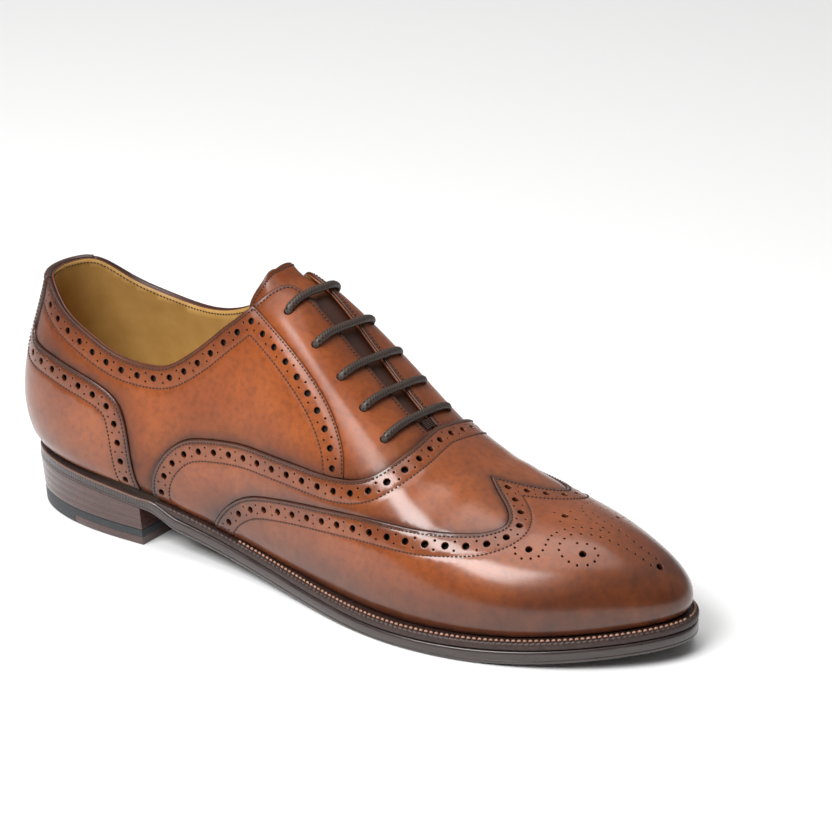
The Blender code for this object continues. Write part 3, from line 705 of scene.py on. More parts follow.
def leather(name, coat, coat_ior, coat_roughness):
    """Polished calf: mottled colour; darker by the tone attribute (burnished seams, wax, and painted shade on
    the low walls); near-black by the dark attribute (inked edges, and painted shade in holes, under the
    pieces and in the throat's slit).
    """
    material, tree, shader = node_tree(name)
    tone = attribute(tree, "tone")
    ink_and_shade = attribute(tree, "dark")
    broad = noise(tree, 26.0, 3.0)
    cloudy = noise(tree, 6.0, 4.0)
    mottle = noise(tree, 2.4, 4.0)
    grain = noise(tree, 0.55, 3.0)
    base = mix_color(tree, remap(tree, broad, 0.35, 0.65), TAN_LIGHT, TAN_MIDDLE)
    base = mix_color(tree, remap(tree, cloudy, 0.35, 0.75, 0.0, 0.45), base, TAN_MIDDLE)
    # Darker by the tone attribute: burnished seams and wax, with painted shade on the low walls.
    wax_and_shade = math_node(tree, "MULTIPLY", tone, remap(tree, cloudy, 0.2, 0.8, 0.75, 1.1))
    base = mix_color(tree, wax_and_shade, base, TAN_DARK)
    base = mix_color(tree, remap(tree, mottle, 0.45, 0.75, 0.0, 0.35), base, TAN_DARK)
    base = mix_color(tree, remap(tree, grain, 0.35, 0.75, 0.0, 0.18), base, TAN_DARK)
    # Inked edges, together with painted shade in holes, under the pieces and in the throat's slit.
    base = mix_color(tree, ink_and_shade, base, EDGE_INK)
    tree.links.new(base, shader.inputs["Base Color"])
    tree.links.new(remap(tree, cloudy, 0.3, 0.7, 0.40, 0.49), shader.inputs["Roughness"])
    set_inputs(shader, {"Coat Weight": coat, "Coat Roughness": coat_roughness, "Coat IOR": coat_ior})
    set_inputs(shader, {"Specular IOR Level": 0.2})
    bump(tree, shader, [(cloudy, 0.08, 0.3), (grain, 0.10, 0.06)])
    return material


def plain(name, color, second, size_mm, roughness, bumps=0.15, depth=0.1, coat=0.0, stretch=(1, 1, 1)):
    """Two-tone mottled material with a fine bump."""
    material, tree, shader = node_tree(name)
    cloudy = noise(tree, size_mm, 4.0, stretch)
    fine = noise(tree, size_mm / 6, 3.0, stretch)
    tree.links.new(mix_color(tree, remap(tree, cloudy, 0.3, 0.7), color, second), shader.inputs["Base Color"])
    shine = remap(tree, fine, 0.3, 0.7, roughness - 0.06, roughness + 0.06)
    tree.links.new(shine, shader.inputs["Roughness"])
    set_inputs(shader, {"Coat Weight": coat, "Coat Roughness": 0.2})
    bump(tree, shader, [(cloudy, bumps, depth * 2), (fine, bumps, depth)])
    return material


def wheeled(name, color, second, rand):
    """Waxed sole edge, with notches by the wheel attribute, darkened as painted shade in their grooves, and a
    pale line at the top of the heel's edge by its own attribute, partly a paler strip of leather and partly a
    painted highlight.
    """
    material, tree, shader = node_tree(name)
    along = attribute(tree, "along")
    wheel = attribute(tree, "wheel")
    pale = attribute(tree, "rand")
    cloudy = noise(tree, 3.0, 4.0, (0.3, 0.3, 2.0))
    turns = math_node(tree, "MULTIPLY", along, 2 * math.pi / WHEEL_PITCH)
    notch = remap(tree, math_node(tree, "SINE", turns), -0.2, 0.9)
    notch = math_node(tree, "MULTIPLY", notch, wheel)
    base = mix_color(tree, remap(tree, cloudy, 0.3, 0.7), color, second)
    # Painted shade in the wheel's notches, which are only bumps.
    base = mix_color(tree, math_node(tree, "MULTIPLY", notch, 0.6), base, NOTCH_SHADE)
    # Pale rand line: partly its own paler leather, partly a painted highlight along the heel's top edge.
    base = mix_color(tree, pale, base, rand)
    tree.links.new(base, shader.inputs["Base Color"])
    tree.links.new(remap(tree, cloudy, 0.3, 0.7, 0.26, 0.36), shader.inputs["Roughness"])
    set_inputs(shader, {"Coat Weight": 0.45, "Coat Roughness": 0.18})
    depth = math_node(tree, "SUBTRACT", 1.0, notch)
    bump(tree, shader, [(cloudy, 0.1, 0.1), (depth, 0.8, 0.4)])
    return material


def braided(name, dark, light):
    """Waxed cord, with painted highlight on top of its strands and painted shade between them, by the weave
    attribute.
    """
    material, tree, shader = node_tree(name)
    weave = attribute(tree, "weave")
    fibre = noise(tree, 0.35, 3.0)
    # Painted highlight on the strands' tops, painted shade between them, varied by the fibre noise.
    strand_light_and_shade = math_node(tree, "MULTIPLY", remap(tree, weave, 0.7, 0.98), remap(tree, fibre, 0.3, 0.7, 0.6, 1.0))
    tree.links.new(mix_color(tree, strand_light_and_shade, dark, light), shader.inputs["Base Color"])
    tree.links.new(remap(tree, fibre, 0.3, 0.7, 0.38, 0.5), shader.inputs["Roughness"])
    bump(tree, shader, [(fibre, 0.2, 0.05)])
    return material


calf = leather("tan_calf", coat=0.45, coat_ior=1.5, coat_roughness=0.31)
polished_calf = leather("polished_calf", coat=0.8, coat_ior=1.57, coat_roughness=0.21)
# Painted shade: near-black for the lining's outer face, seen through the brogue holes and in gaps between
# pieces.
shade_backing = plain("dark_backing", (0.012, 0.008, 0.006), (0.02, 0.012, 0.009), 2.0, 0.8)
lining_hide = plain("lining_hide", (0.50, 0.29, 0.085), (0.42, 0.23, 0.06), 9.0, 0.55, 0.12, 0.08)
thread = plain("brown_thread", (0.030, 0.014, 0.010), (0.055, 0.026, 0.018), 0.6, 0.6, 0.3, 0.05)
lace_cord = braided("waxed_lace", (0.009, 0.006, 0.004), (0.078, 0.048, 0.036))
welt_hide = plain("welt_hide", (0.018, 0.008, 0.006), (0.045, 0.019, 0.014), 1.6, 0.5, 0.3, 0.1)
welt_thread = plain("welt_thread", (0.42, 0.24, 0.17), (0.30, 0.15, 0.10), 1.2, 0.6, 0.3, 0.06)
sole_edge = wheeled("sole_edge", (0.030, 0.020, 0.018), (0.046, 0.031, 0.028), (0.30, 0.16, 0.12))
stack_edge = plain("heel_stack_edge", (0.048, 0.020, 0.016), (0.074, 0.032, 0.026), 2.6, 0.30, 0.1, 0.04,
                   coat=0.45, stretch=(0.25, 0.25, 2.2))
rubber = plain("heel_rubber", (0.021, 0.025, 0.028), (0.032, 0.036, 0.039), 1.5, 0.5, 0.2, 0.05)


# Meshes


def add_to_scene(obj):
    bpy.context.scene.collection.objects.link(obj)


def make_object(name, points, faces, materials, face_slots=None, attributes=None, replaced=()):
    """A smooth-shaded mesh piece on the shoe, from points in last millimetres."""
    mesh = bpy.data.meshes.new(name)
    mesh.from_pydata([tuple(p) for p in to_part(points)], [], [tuple(f) for f in faces])
    for material in materials:
        mesh.materials.append(material)
    if face_slots is not None:
        mesh.polygons.foreach_set("material_index", np.asarray(face_slots, np.int32))
    for key, values in (attributes or {}).items():
        layer = mesh.attributes.new(key, "FLOAT", "POINT")
        layer.data.foreach_set("value", np.asarray(values, np.float32))
    mesh.shade_smooth()
    mesh.validate()
    obj = bpy.data.objects.new(name, mesh)
    add_to_scene(obj)
    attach(obj, "root")
    if replaced:
        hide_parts(*replaced)
    return obj


def ring(center, radius, count, place=sheet):
    """Pattern circle of true radius round a pattern point."""
    _, along, up, _ = frames([center[0]], [center[1]], place)
    first = along[0] / np.linalg.norm(along[0])
    rest = up[0] - first * up[0].dot(first)
    height = np.linalg.norm(rest)
    angles = np.arange(count) * 2 * math.pi / count
    dw = radius * np.sin(angles) / height
    du = (radius * np.cos(angles) - dw * up[0].dot(first)) / np.linalg.norm(along[0])
    return np.stack((center[0] + du, center[1] + dw), axis=1)


Hole = namedtuple("Hole", "u w radius")
Panel = namedtuple("Panel", "name outline base top grooves holes inked worn skived spacing place heel_seam",
                   defaults=(False,))


def clip_runs(line, polygon, near, margin):
    """Pieces of a line that lie inside a polygon and clear of its edge."""
    spread = flat(line)
    good = inside(polygon, spread) & (distances(near, spread) > margin)
    runs = []
    run = []
    for point, keep in zip(line, good):
        if keep:
            run.append(point)
        elif run:
            runs.append(np.array(run))
            run = []
    if run:
        runs.append(np.array(run))
    return [r for r in runs if len(r) > 2]


def squareness(u, w, place):
    """Sine of the angle between the two tangents of a pattern sheet."""
    _, along, up, _ = frames(u, w, place)
    area = np.linalg.norm(np.cross(along, up), axis=1)
    return area / (np.linalg.norm(along, axis=1) * np.linalg.norm(up, axis=1))


def panel_mesh(panel):
    """Pattern triangles of a panel: (u, w) points and faces, with holes left out."""
    outline = inset(panel.outline, EDGE_RADIUS, panel.place, panel.heel_seam)
    polygon = flat(outline)
    near = tree_of(polygon)
    points = [tuple(p) for p in polygon]
    edges = []
    for line in panel.grooves:
        for shift in (-GROOVE_HALF, 0.0, GROOVE_HALF):
            moved = offset(line, shift, panel.place) if shift else line
            for run in clip_runs(even(moved, GROOVE_STEP, panel.place), polygon, near, GROOVE_MARGIN):
                start = len(points)
                points += [tuple(p) for p in flat(run)]
                edges += [(start + k, start + k + 1) for k in range(len(run) - 1)]
    centers = []
    for hole in panel.holes:
        count = HOLE_SIDES if hole.radius > 1 else PIN_SIDES
        for radius in (hole.radius, hole.radius + HOLE_RING):
            circle = flat(ring((hole.u, hole.w), radius, count, panel.place))
            start = len(points)
            points += [tuple(p) for p in circle]
            if radius == hole.radius:
                edges += [(start + k, start + (k + 1) % count) for k in range(count)]
        centers.append((hole.u, hole.w))
    if panel.outline[:, 0].max() > TOE - ON_SEAM:
        crest = np.linspace(POLE_CREST, TOE, 6)
        edges += [(len(points) + k, len(points) + k + 1) for k in range(len(crest) - 1)]
        points += [tuple(p) for p in flat(np.stack((crest, np.ones(len(crest))), axis=1))]
    fixed = tree_of(np.array(points))
    low = polygon.min(0)
    high = polygon.max(0)
    step = panel.spacing
    rows = np.arange(low[1], high[1], step * ROW_SPACING)
    lattice = []
    for k, y in enumerate(rows):
        xs = np.arange(low[0] + (k % 2) * step / 2, high[0], step)
        lattice.append(np.stack((xs, np.full(len(xs), y)), axis=1))
    lattice = np.vstack(lattice)
    lattice = lattice[inside(polygon, lattice)]
    lattice = lattice[distances(fixed, lattice) > POINTS_APART * step]
    lattice = lattice[squareness(lattice[:, 0] / SPAN_U, lattice[:, 1] / SPAN_W, panel.place) > MIN_SQUARE]
    if centers:
        spots = place_points(np.array(centers), panel.place)
        spots_tree = tree_of(spots)
        radii = np.array([h.radius for h in panel.holes])
        found = [spots_tree.find(Vector(p)) for p in place_points(lattice / SPREAD, panel.place)]
        lattice = lattice[[dist > radii[i] + HOLE_FREE for _, i, dist in found]]
    points += [tuple(p) for p in lattice]
    result = delaunay_2d_cdt([Vector(p) for p in points], edges, [list(range(len(polygon)))], 1, 1e-5)
    pattern = np.array([(p.x, p.y) for p in result[0]]) / SPREAD
    faces = np.array([f for f in result[2] if len(f) == 3])
    if centers:
        middle = pattern[faces].mean(1)
        found = [spots_tree.find(Vector(p)) for p in place_points(middle, panel.place)]
        faces = faces[[dist > radii[i] * 0.97 for _, i, dist in found]]
    return pattern, faces


def place_points(pattern, place=sheet):
    return place(pattern[:, 0], pattern[:, 1])


# Rounding of the edges, (out, down), at the outline and round holes, which have loops shorter than HOLE_LOOP.
# Then the deepest rounding as a share of the thickness, the painted shade on the rounding of holes, and the
# inked colour on the rounding of edges.
RIM_EDGE = [(0.22, 0.05), (0.42, 0.2), (0.5, 0.45)]
RIM_HOLE = [(0.10, 0.03), (0.16, 0.16)]
HOLE_LOOP = 16.0
RIM_SHARE = 0.8
HOLE_SHADE = 0.4
RIM_INK = 0.25


def boundary_loops(faces):
    """Closed loops of boundary vertices, in the winding of their faces."""
    pairs = set()
    for a, b, c in faces:
        pairs.update(((a, b), (b, c), (c, a)))
    following = {}
    for a, b in pairs:
        if (b, a) not in pairs:
            following.setdefault(a, []).append(b)
    loops = []
    while following:
        first = next(iter(following))
        here = first
        loop = []
        while here in following and (here != first or not loop):
            loop.append(here)
            ends = following[here]
            after = ends.pop()
            if not ends:
                del following[here]
            here = after
        if here == first:
            loops.append(loop)
    return loops


def weld(positions, faces):
    """Join points that lie in the same place."""
    keys = {}
    index = np.zeros(len(positions), int)
    for i, key in enumerate(map(tuple, np.round(positions / WELD).astype(int))):
        index[i] = keys.setdefault(key, i)
    faces = index[faces]
    return np.array([f for f in faces if len(set(f)) == 3])


Trough = namedtuple("Trough", "x y turn long wide depth")
TROUGHS = [
    Trough(196, -20, 1.35, 16, 3.2, -0.35), Trough(203, -18, 1.40, 15, 3.6, 0.30),
    Trough(209, -22, 1.30, 14, 3.0, -0.25), Trough(200, 22, 1.75, 14, 3.4, -0.30),
    Trough(206, 20, 1.70, 14, 3.4, 0.25), Trough(118, -30, 0.3, 14, 5.0, -0.25),
    Trough(70, -30, 0.1, 16, 6.0, -0.25), Trough(80, -28, 1.2, 10, 5.0, -0.2),
]


def waves(points):
    """Soft troughs and ridges of worn-in leather, in millimetres, by place."""
    x, y, _ = points.T
    total = np.zeros(len(points))
    for trough in TROUGHS:
        along = (x - trough.x) * math.cos(trough.turn) + (y - trough.y) * math.sin(trough.turn)
        across = -(x - trough.x) * math.sin(trough.turn) + (y - trough.y) * math.cos(trough.turn)
        total += trough.depth * np.exp(-(along / trough.long) ** 2 - (across / trough.wide) ** 2)
    return total


def from_lines(points, lines, spacing, place=sheet):
    """Distance of points from pattern lines, in millimetres."""
    rows = np.vstack([place_points(even(line, spacing, place), place) for line in lines])
    return distances(tree_of(rows), points)


def skiving(points, skived, height):
    """How much leather of this height is pared away near a line: (line, width, height left)."""
    line, width, thin = skived
    return (height - thin) * (1 - smoothstep(from_lines(points, [line], SKIVE_SAMPLE), 0.0, width))


def even_pole(top, bottom, faces):
    """Spread the points that crowd where the toe's sections meet, by averaging their neighbours."""
    pairs = np.vstack((faces[:, [0, 1]], faces[:, [1, 2]], faces[:, [2, 0]]))
    both = np.unique(np.vstack((pairs, pairs[:, ::-1])), axis=0)
    degree = np.bincount(both[:, 0], minlength=len(top))
    free = np.linalg.norm((top + bottom) / 2 - POLE, axis=1) < POLE_EVEN
    for loop in boundary_loops(faces):
        free[loop] = False
    for _ in range(POLE_ROUNDS):
        for layer in (top, bottom):
            total = np.zeros_like(layer)
            np.add.at(total, both[:, 0], layer[both[:, 1]])
            layer[free] = total[free] / degree[free][:, None]


def build_panel(panel, materials, replaced):
    """A leather piece with thickness, rounded inked edges, sewn grooves and punched holes, with painted shade
    on the hole walls and on its inner face.

    materials are for its outer face, its edges and its inner face.
    """
    pattern, faces = panel_mesh(panel)
    points, _, _, normals = frames(pattern[:, 0], pattern[:, 1], panel.place)
    count = len(points)
    height = np.full(count, panel.top)
    if panel.skived is not None:
        height -= skiving(points, panel.skived, panel.top)
    if panel.grooves:
        near = from_lines(points, panel.grooves, GROOVE_SAMPLE, panel.place)
        height -= GROOVE_DEPTH * np.exp(-(near / GROOVE_SOFT) ** 2)
    height += waves(points) if panel.place is sheet else 0.0
    inked = np.zeros(count)
    if panel.inked:
        near = from_lines(points, panel.inked, INK_SAMPLE, panel.place)
        inked = 1 - smoothstep(near, *INK_WIDTH)
    worn = np.zeros(count)
    if panel.worn:
        near = from_lines(points, panel.worn, WORN_SAMPLE, panel.place)
        worn = sum(WORN_DEPTH * np.exp(-(near / reach) ** 2) for reach in WORN_REACH)
    tone = np.clip(worn + wax_and_low_shade(points), 0.0, 1.0)
    top = points + normals * height[:, None]
    bottom = points + normals * panel.base
    faces = weld(top, faces)
    used = np.unique(faces)
    renumber = np.full(count, -1)
    renumber[used] = np.arange(len(used))
    faces = renumber[faces]
    top, bottom, normals, tone, inked = (a[used] for a in (top, bottom, normals, tone, inked))
    if panel.outline[:, 0].max() > TOE - ON_SEAM:
        even_pole(top, bottom, faces)
    size = len(used)
    verts = [top, bottom]
    tones = [tone, tone]
    # Outer face dark by its inked edges; inner face fully dark as painted shade under the piece.
    inks_and_shade = [inked, np.ones(size)]
    total = 2 * size
    made = [tuple(f) for f in faces]
    under = np.arange(size) + size
    for loop in boundary_loops(faces):
        ids = np.array(loop)
        here = top[ids]
        tangent = np.roll(here, -1, 0) - np.roll(here, 1, 0)
        outward = np.cross(tangent, normals[ids])
        outward /= np.maximum(np.linalg.norm(outward, axis=1), 1e-9)[:, None]
        hole = lengths(here)[-1] < HOLE_LOOP
        profile = RIM_HOLE if hole else RIM_EDGE
        previous = ids
        for out, down in profile:
            down = np.minimum(down, np.linalg.norm(here - bottom[ids], axis=1) * RIM_SHARE)
            verts.append(here + outward * out - normals[ids] * down[:, None])
            tones.append(tone[ids])
            # Painted shade on the hole walls; inked colour on the outer edges.
            inks_and_shade.append(np.full(len(ids), HOLE_SHADE) if hole else np.maximum(inked[ids], RIM_INK))
            current = np.arange(len(ids)) + total
            total += len(ids)
            made += strip(previous, current)
            previous = current
        bottom[ids] += outward * profile[-1][0]
        made += strip(previous, under[ids])
    rim_end = len(made)
    made += [tuple(under[f][::-1]) for f in faces]
    face_slots = np.full(len(made), 1)
    face_slots[:len(faces)] = 0
    face_slots[rim_end:] = 2
    attributes = {"tone": np.concatenate(tones), "dark": np.concatenate(inks_and_shade)}
    return make_object(panel.name, np.vstack(verts), made, materials, face_slots, attributes, replaced)


def strip(first, second):
    """Quads between two closed loops: first in face winding, second outside it."""
    rows = zip(first, np.roll(first, -1), np.roll(second, -1), second)
    return [(int(b), int(a), int(d), int(c)) for a, b, c, d in rows]


def wax_and_low_shade(points):
    """Darker wax at toe and heel, and darker towards the welt, there partly wax and partly painted shade on
    the low walls.
    """
    x, _, z = points.T
    toe = TOE_WAX * smoothstep(x, *TOE_WAX_FROM)
    heel = HEEL_WAX * (1 - smoothstep(x, *HEEL_WAX_TO))
    height = z - foot_height(np.clip(x, FOOT_HEIGHT[0][0], FOOT_HEIGHT[-1][0]))
    low = (WELT_WAX_AND_SHADE + FRONT_WAX_AND_SHADE * smoothstep(x, *FRONT_WAX_AND_SHADE_FROM)) * (1 - smoothstep(height, *WELT_WAX_AND_SHADE_TO))
    return np.minimum(toe + heel + low, MOST_WAX_AND_SHADE)


def ring_quads(rings, count):
    """Quads between rings of count points that follow each other."""
    quads = []
    for k in range(rings - 1):
        a = k * count
        for i in range(count):
            j = (i + 1) % count
            quads.append((a + i, a + j, a + count + j, a + count + i))
    return quads


def capped(rings, count):
    """Faces of a tube of rings, closed at both ends."""
    last = (rings - 1) * count
    ends = [tuple(range(count))[::-1], tuple(range(last, last + count))]
    return ring_quads(rings, count) + ends


def capsules(segments, radius):
    """Points and faces of rounded dashes: segments are (start, end, normal) arrays."""
    starts, ends, normals = segments
    axis = ends - starts
    size = np.linalg.norm(axis, axis=1)[:, None]
    axis = axis / np.maximum(size, 1e-9)
    across = np.cross(normals, axis)
    across /= np.maximum(np.linalg.norm(across, axis=1), 1e-9)[:, None]
    up = np.cross(axis, across)
    angles = np.arange(STITCH_SIDES) * 2 * math.pi / STITCH_SIDES
    rings = []
    for t, wide in STITCH_PROFILE:
        center = starts + (ends - starts) * t + normals * radius * STITCH_ARCH * math.sin(math.pi * t)
        for angle in angles:
            rings.append(center + radius * wide * (across * math.cos(angle) + up * math.sin(angle)))
    points = np.stack(rings, axis=1).reshape(-1, 3)
    per = len(STITCH_PROFILE) * STITCH_SIDES
    template = capped(len(STITCH_PROFILE), STITCH_SIDES)
    faces = [tuple(i + n * per for i in f) for n in range(len(starts)) for f in template]
    return points, faces


def stitch_run(line, height, place=sheet, skived=None, flip=1.0):
    """Dashes along a pattern line, at a height over the last."""
    total = true_length(line, place)
    starts = np.arange(STITCH_START, total - STITCH_LONG, STITCH_PITCH)
    if len(starts) == 0:
        return None
    parts = []
    for shift in (0.0, STITCH_LONG):
        pattern = resample(line, starts + shift, place)
        points, _, _, normals = frames(pattern[:, 0], pattern[:, 1], place)
        level = np.full(len(points), height)
        if skived is not None:
            level -= skiving(points, skived, height)
        if place is sheet:
            level += waves(points)
        parts.append((points + normals * level[:, None], normals * flip))
    return parts[0][0], parts[1][0], parts[0][1]


def build_stitches(name, runs, radius, material):
    """One piece with all dashes of these runs."""
    runs = [r for r in runs if r is not None and len(r[0])]
    joined = tuple(np.vstack([r[k] for r in runs]) for k in range(3))
    points, faces = capsules(joined, radius)
    return make_object(name, points, faces, [material])


# Pattern of the upper


def side_line(line, side):
    return np.asarray(line, float) if side == 0 else mirrored(line)


def back_line(line, side):
    """Line of the counter: the inner side has negative u."""
    line = np.asarray(line, float).copy()
    if side == 1:
        line[:, 0] *= -1
    return line


def inward(side):
    """Offsets to the right on the outer side and to the left on the inner one."""
    return -1.0 if side == 0 else 1.0


COLLAR_LIP = 0.004
vamp_line = smooth_line(VAMP_LINE)
wing_line = smooth_line(WING_LINE)


def collar_line(start, end, side):
    u = u_steps(start, end)
    return np.stack((u, top_line[side](u) - COLLAR_LIP), axis=1)


def counter_front(side):
    neck = (COUNTER_NECK, float(top_line[side](COUNTER_NECK)) - COLLAR_LIP)
    return smooth_line([neck] + COUNTER_LINE)


def facing_line(side):
    corner = (FACING_CORNER, float(top_line[side](FACING_CORNER)) - COLLAR_LIP)
    return smooth_line([corner] + FACING_LINE)


def over_crest(line, distance):
    """A line offset inward on both sides: the outer half up to the crest, and the inner half down from it."""
    outer = offset(line, -distance)
    inner = mirrored(offset_inner(line, distance))[::-1]
    return meet(outer, inner)


def offset_inner(line, distance):
    """Offset measured on the inner side, given back as an outer line."""
    return mirrored(offset(mirrored(line), distance))


def brogue(line, first, outline):
    """Large holes along a line, with pairs of pinholes between them, kept clear of the outline."""
    total = true_length(line)
    half = HOLE_PITCH / 2
    first_pin = first - half if first >= half else first + half
    spots = resample(line, np.arange(first_pin, total, HOLE_PITCH))
    index = [int(np.argmin(np.linalg.norm(flat(line) - flat(s), axis=1))) for s in spots]
    found = [Hole(u, w, HOLE_RADIUS) for u, w in resample(line, np.arange(first, total, HOLE_PITCH))]
    for sign in (-1, 1):
        moved = offset(line, sign * PIN_OFFSET)
        found += [Hole(*moved[i], PIN_RADIUS) for i in index]
    return keep_clear(found, outline)


def keep_clear(holes, outline):
    """Drop holes that come too near the outline or one another."""
    border = tree_of(place_points(outline))
    polygon = flat(outline)
    kept = []
    spots = []
    for hole in sorted(holes, key=lambda h: -h.radius):
        spot = place_points(np.array([[hole.u, hole.w]]))[0]
        if not inside(polygon, flat(np.array([[hole.u, hole.w]])))[0]:
            continue
        if border.find(Vector(spot))[2] < hole.radius + HOLE_MARGIN:
            continue
        if any(np.linalg.norm(spot - other) < hole.radius + radius + HOLE_APART for other, radius in spots):
            continue
        kept.append(hole)
        spots.append((spot, hole.radius))
    return kept


def sew(runs, lines, outline, height, place=sheet, skived=None):
    """Add stitch runs for the parts of lines inside an outline."""
    polygon = flat(outline)
    near = tree_of(polygon)
    for line in lines:
        for run in clip_runs(even(line, SEAM_STEP, place), polygon, near, SEAM_MARGIN):
            runs.append(stitch_run(run, height - 0.5 * GROOVE_DEPTH, place=place, skived=skived))


stitches = []

# Heel counter: one sheet round the back, with a brogued front edge on both sides
COUNTER_POINTS = 86
COUNTER_FIRST_HOLE = 4.4
COLLAR_MIDDLE = 0.03
counter_u = np.linspace(0, COUNTER_LINE[-1][0], COUNTER_POINTS)
counter_outline = join_edges(
    back_line(counter_front(1), 1)[::-1],
    back_line(collar_line(COUNTER_NECK, 0.0, 1), 1),
    collar_line(0.0, COUNTER_NECK, 0),
    counter_front(0),
    foot_edge(COUNTER_LINE[-1][0], 0.0, 0, COUNTER_FOOT),
    back_line(np.stack((counter_u, foot_row(counter_u, 1, COUNTER_FOOT)), axis=1), 1),
)
counter_edges = [back_line(counter_front(side), side) for side in (0, 1)]
counter_rows = []
counter_holes = []
for side in (0, 1):
    front = counter_edges[side]
    counter_rows += [offset(front, inward(side) * EDGE_ROW), offset(front, inward(side) * INNER_ROW)]
    counter_holes += brogue(offset(front, inward(side) * HOLE_ROW), COUNTER_FIRST_HOLE, counter_outline)
counter_collar = np.vstack((
    back_line(collar_line(COUNTER_NECK, 0.0, 1), 1),
    collar_line(COLLAR_MIDDLE, COUNTER_NECK, 0),
))
counter_rows.append(offset(counter_collar, -EDGE_ROW))
counter_holes = keep_clear(counter_holes, counter_outline)
counter = Panel("counter_leather", counter_outline, PANEL_BASE, COUNTER_TOP, counter_rows, counter_holes,
                counter_edges, counter_edges + [counter_collar], None, PANEL_SPACING, sheet)
build_panel(counter, [polished_calf] * 3, ["heel_counter"])
sew(stitches, counter_rows, counter_outline, COUNTER_TOP)

# Quarters: brogued along collar and facing, under the counter and vamp edges, pared towards the facing
FACING_EDGE_ROW = 0.7
FACING_HOLE_ROW = HOLE_ROW - 0.2
for side, label in ((0, "outer"), (1, "inner")):
    collar = collar_line(COUNTER_NECK, FACING_CORNER, side)
    facing = facing_line(side)
    meeting = smooth_line([k for k in VAMP_LINE if k[0] <= FACING_LINE[-1][0]])
    outline = join_edges(
        side_line(collar, side),
        side_line(facing, side),
        side_line(meeting[::-1], side),
        foot_edge(VAMP_LINE[0][0], COUNTER_LINE[-1][0], side, QUARTER_FOOT),
        side_line(counter_front(side)[::-1], side),
    )
    sign = inward(side)
    rows = []
    for collar_row, facing_row in ((EDGE_ROW, FACING_EDGE_ROW), (INNER_ROW, INNER_ROW)):
        rows += meet(offset(side_line(collar, side), sign * collar_row),
                     offset(side_line(facing, side), sign * facing_row))
    before, after = meet(offset(side_line(collar, side), sign * HOLE_ROW),
                         offset(side_line(facing, side), sign * FACING_HOLE_ROW))
    holes = brogue(before[::-1], 0.0, outline) + brogue(after, HOLE_PITCH, outline)
    holes = keep_clear(holes, outline)
    skived = (side_line(facing, side), *SKIVED)
    quarter = Panel(f"quarter_{label}_leather", outline, PANEL_BASE, QUARTER_TOP, rows, holes, [],
                    [side_line(collar, side), side_line(counter_front(side), side), side_line(meeting, side)],
                    skived, PANEL_SPACING, sheet)
    build_panel(quarter, [calf] * 3, [f"quarter_{label}"])
    sew(stitches, rows, outline, QUARTER_TOP, skived=skived)

# Vamp: brogued along its rear edge, under the wing
vamp_outline = join_edges(
    vamp_line,
    mirrored(vamp_line)[::-1],
    foot_edge(VAMP_LINE[0][0], WING_LINE[0][0], 1, VAMP_FOOT),
    mirrored(wing_line),
    wing_line[::-1],
    foot_edge(WING_LINE[0][0], VAMP_LINE[0][0], 0, VAMP_FOOT),
)
vamp_edge = np.vstack((vamp_line, mirrored(vamp_line)[::-1][1:]))
vamp_rows = [np.vstack(over_crest(vamp_line, d)) for d in (EDGE_ROW, INNER_ROW)]
before, after = over_crest(vamp_line, HOLE_ROW)
vamp_holes = brogue(before[::-1], HOLE_PITCH / 2, vamp_outline) + brogue(after, HOLE_PITCH / 2, vamp_outline)
vamp_holes = keep_clear(vamp_holes, vamp_outline)
wing_edge = np.vstack((wing_line, mirrored(wing_line)[::-1][1:]))
vamp = Panel("vamp_leather", vamp_outline, PANEL_BASE, VAMP_TOP, vamp_rows, vamp_holes, [vamp_edge],
             [vamp_edge, wing_edge], None, PANEL_SPACING, sheet)
build_panel(vamp, [polished_calf] * 3, ["vamp"])
sew(stitches, vamp_rows, vamp_outline, VAMP_TOP)

# Medallion, (forward, side) in millimetres from its rear hole. Rows off the middle are on both sides.
MEDALLION_REAR = (239.2, -0.3)
MEDALLION_FRONT = (277.4, 4.3)
MEDALLION_HOLES = [(0.0, 0.0), (-3.9, 22.1), (14.6, 15.5), (38.5, 0.0)]
MEDALLION_PINS = [
    (-4.3, 0.0), (0.2, 4.4), (4.5, 0.0),
    (18.0, 0.0), (15.0, 1.2), (11.8, 2.3), (8.7, 3.7), (6.0, 5.6), (3.8, 8.0), (2.0, 11.0), (1.0, 13.3),
    (0.7, 15.6), (0.9, 18.0), (0.9, 20.4), (0.5, 22.9), (-1.8, 24.7), (-4.9, 25.9), (-7.7, 25.4),
    (-8.8, 23.6),
    (36.0, 2.2), (33.0, 2.4), (29.9, 2.7), (26.7, 3.1), (23.5, 3.6), (20.2, 4.2), (16.8, 4.9), (13.5, 5.8),
    (10.1, 7.5), (7.1, 9.6), (5.8, 12.5), (5.4, 15.4), (6.2, 17.9), (8.3, 19.5), (11.3, 20.1), (14.5, 19.8),
    (17.8, 17.9), (19.5, 15.6), (19.7, 13.0), (17.5, 11.2), (14.2, 10.9), (10.9, 12.4),
]
MEDALLION_PIN = 0.6
MEDALLION_U = (8.3, 10.95)
MEDALLION_W = (0.4, 1.6)


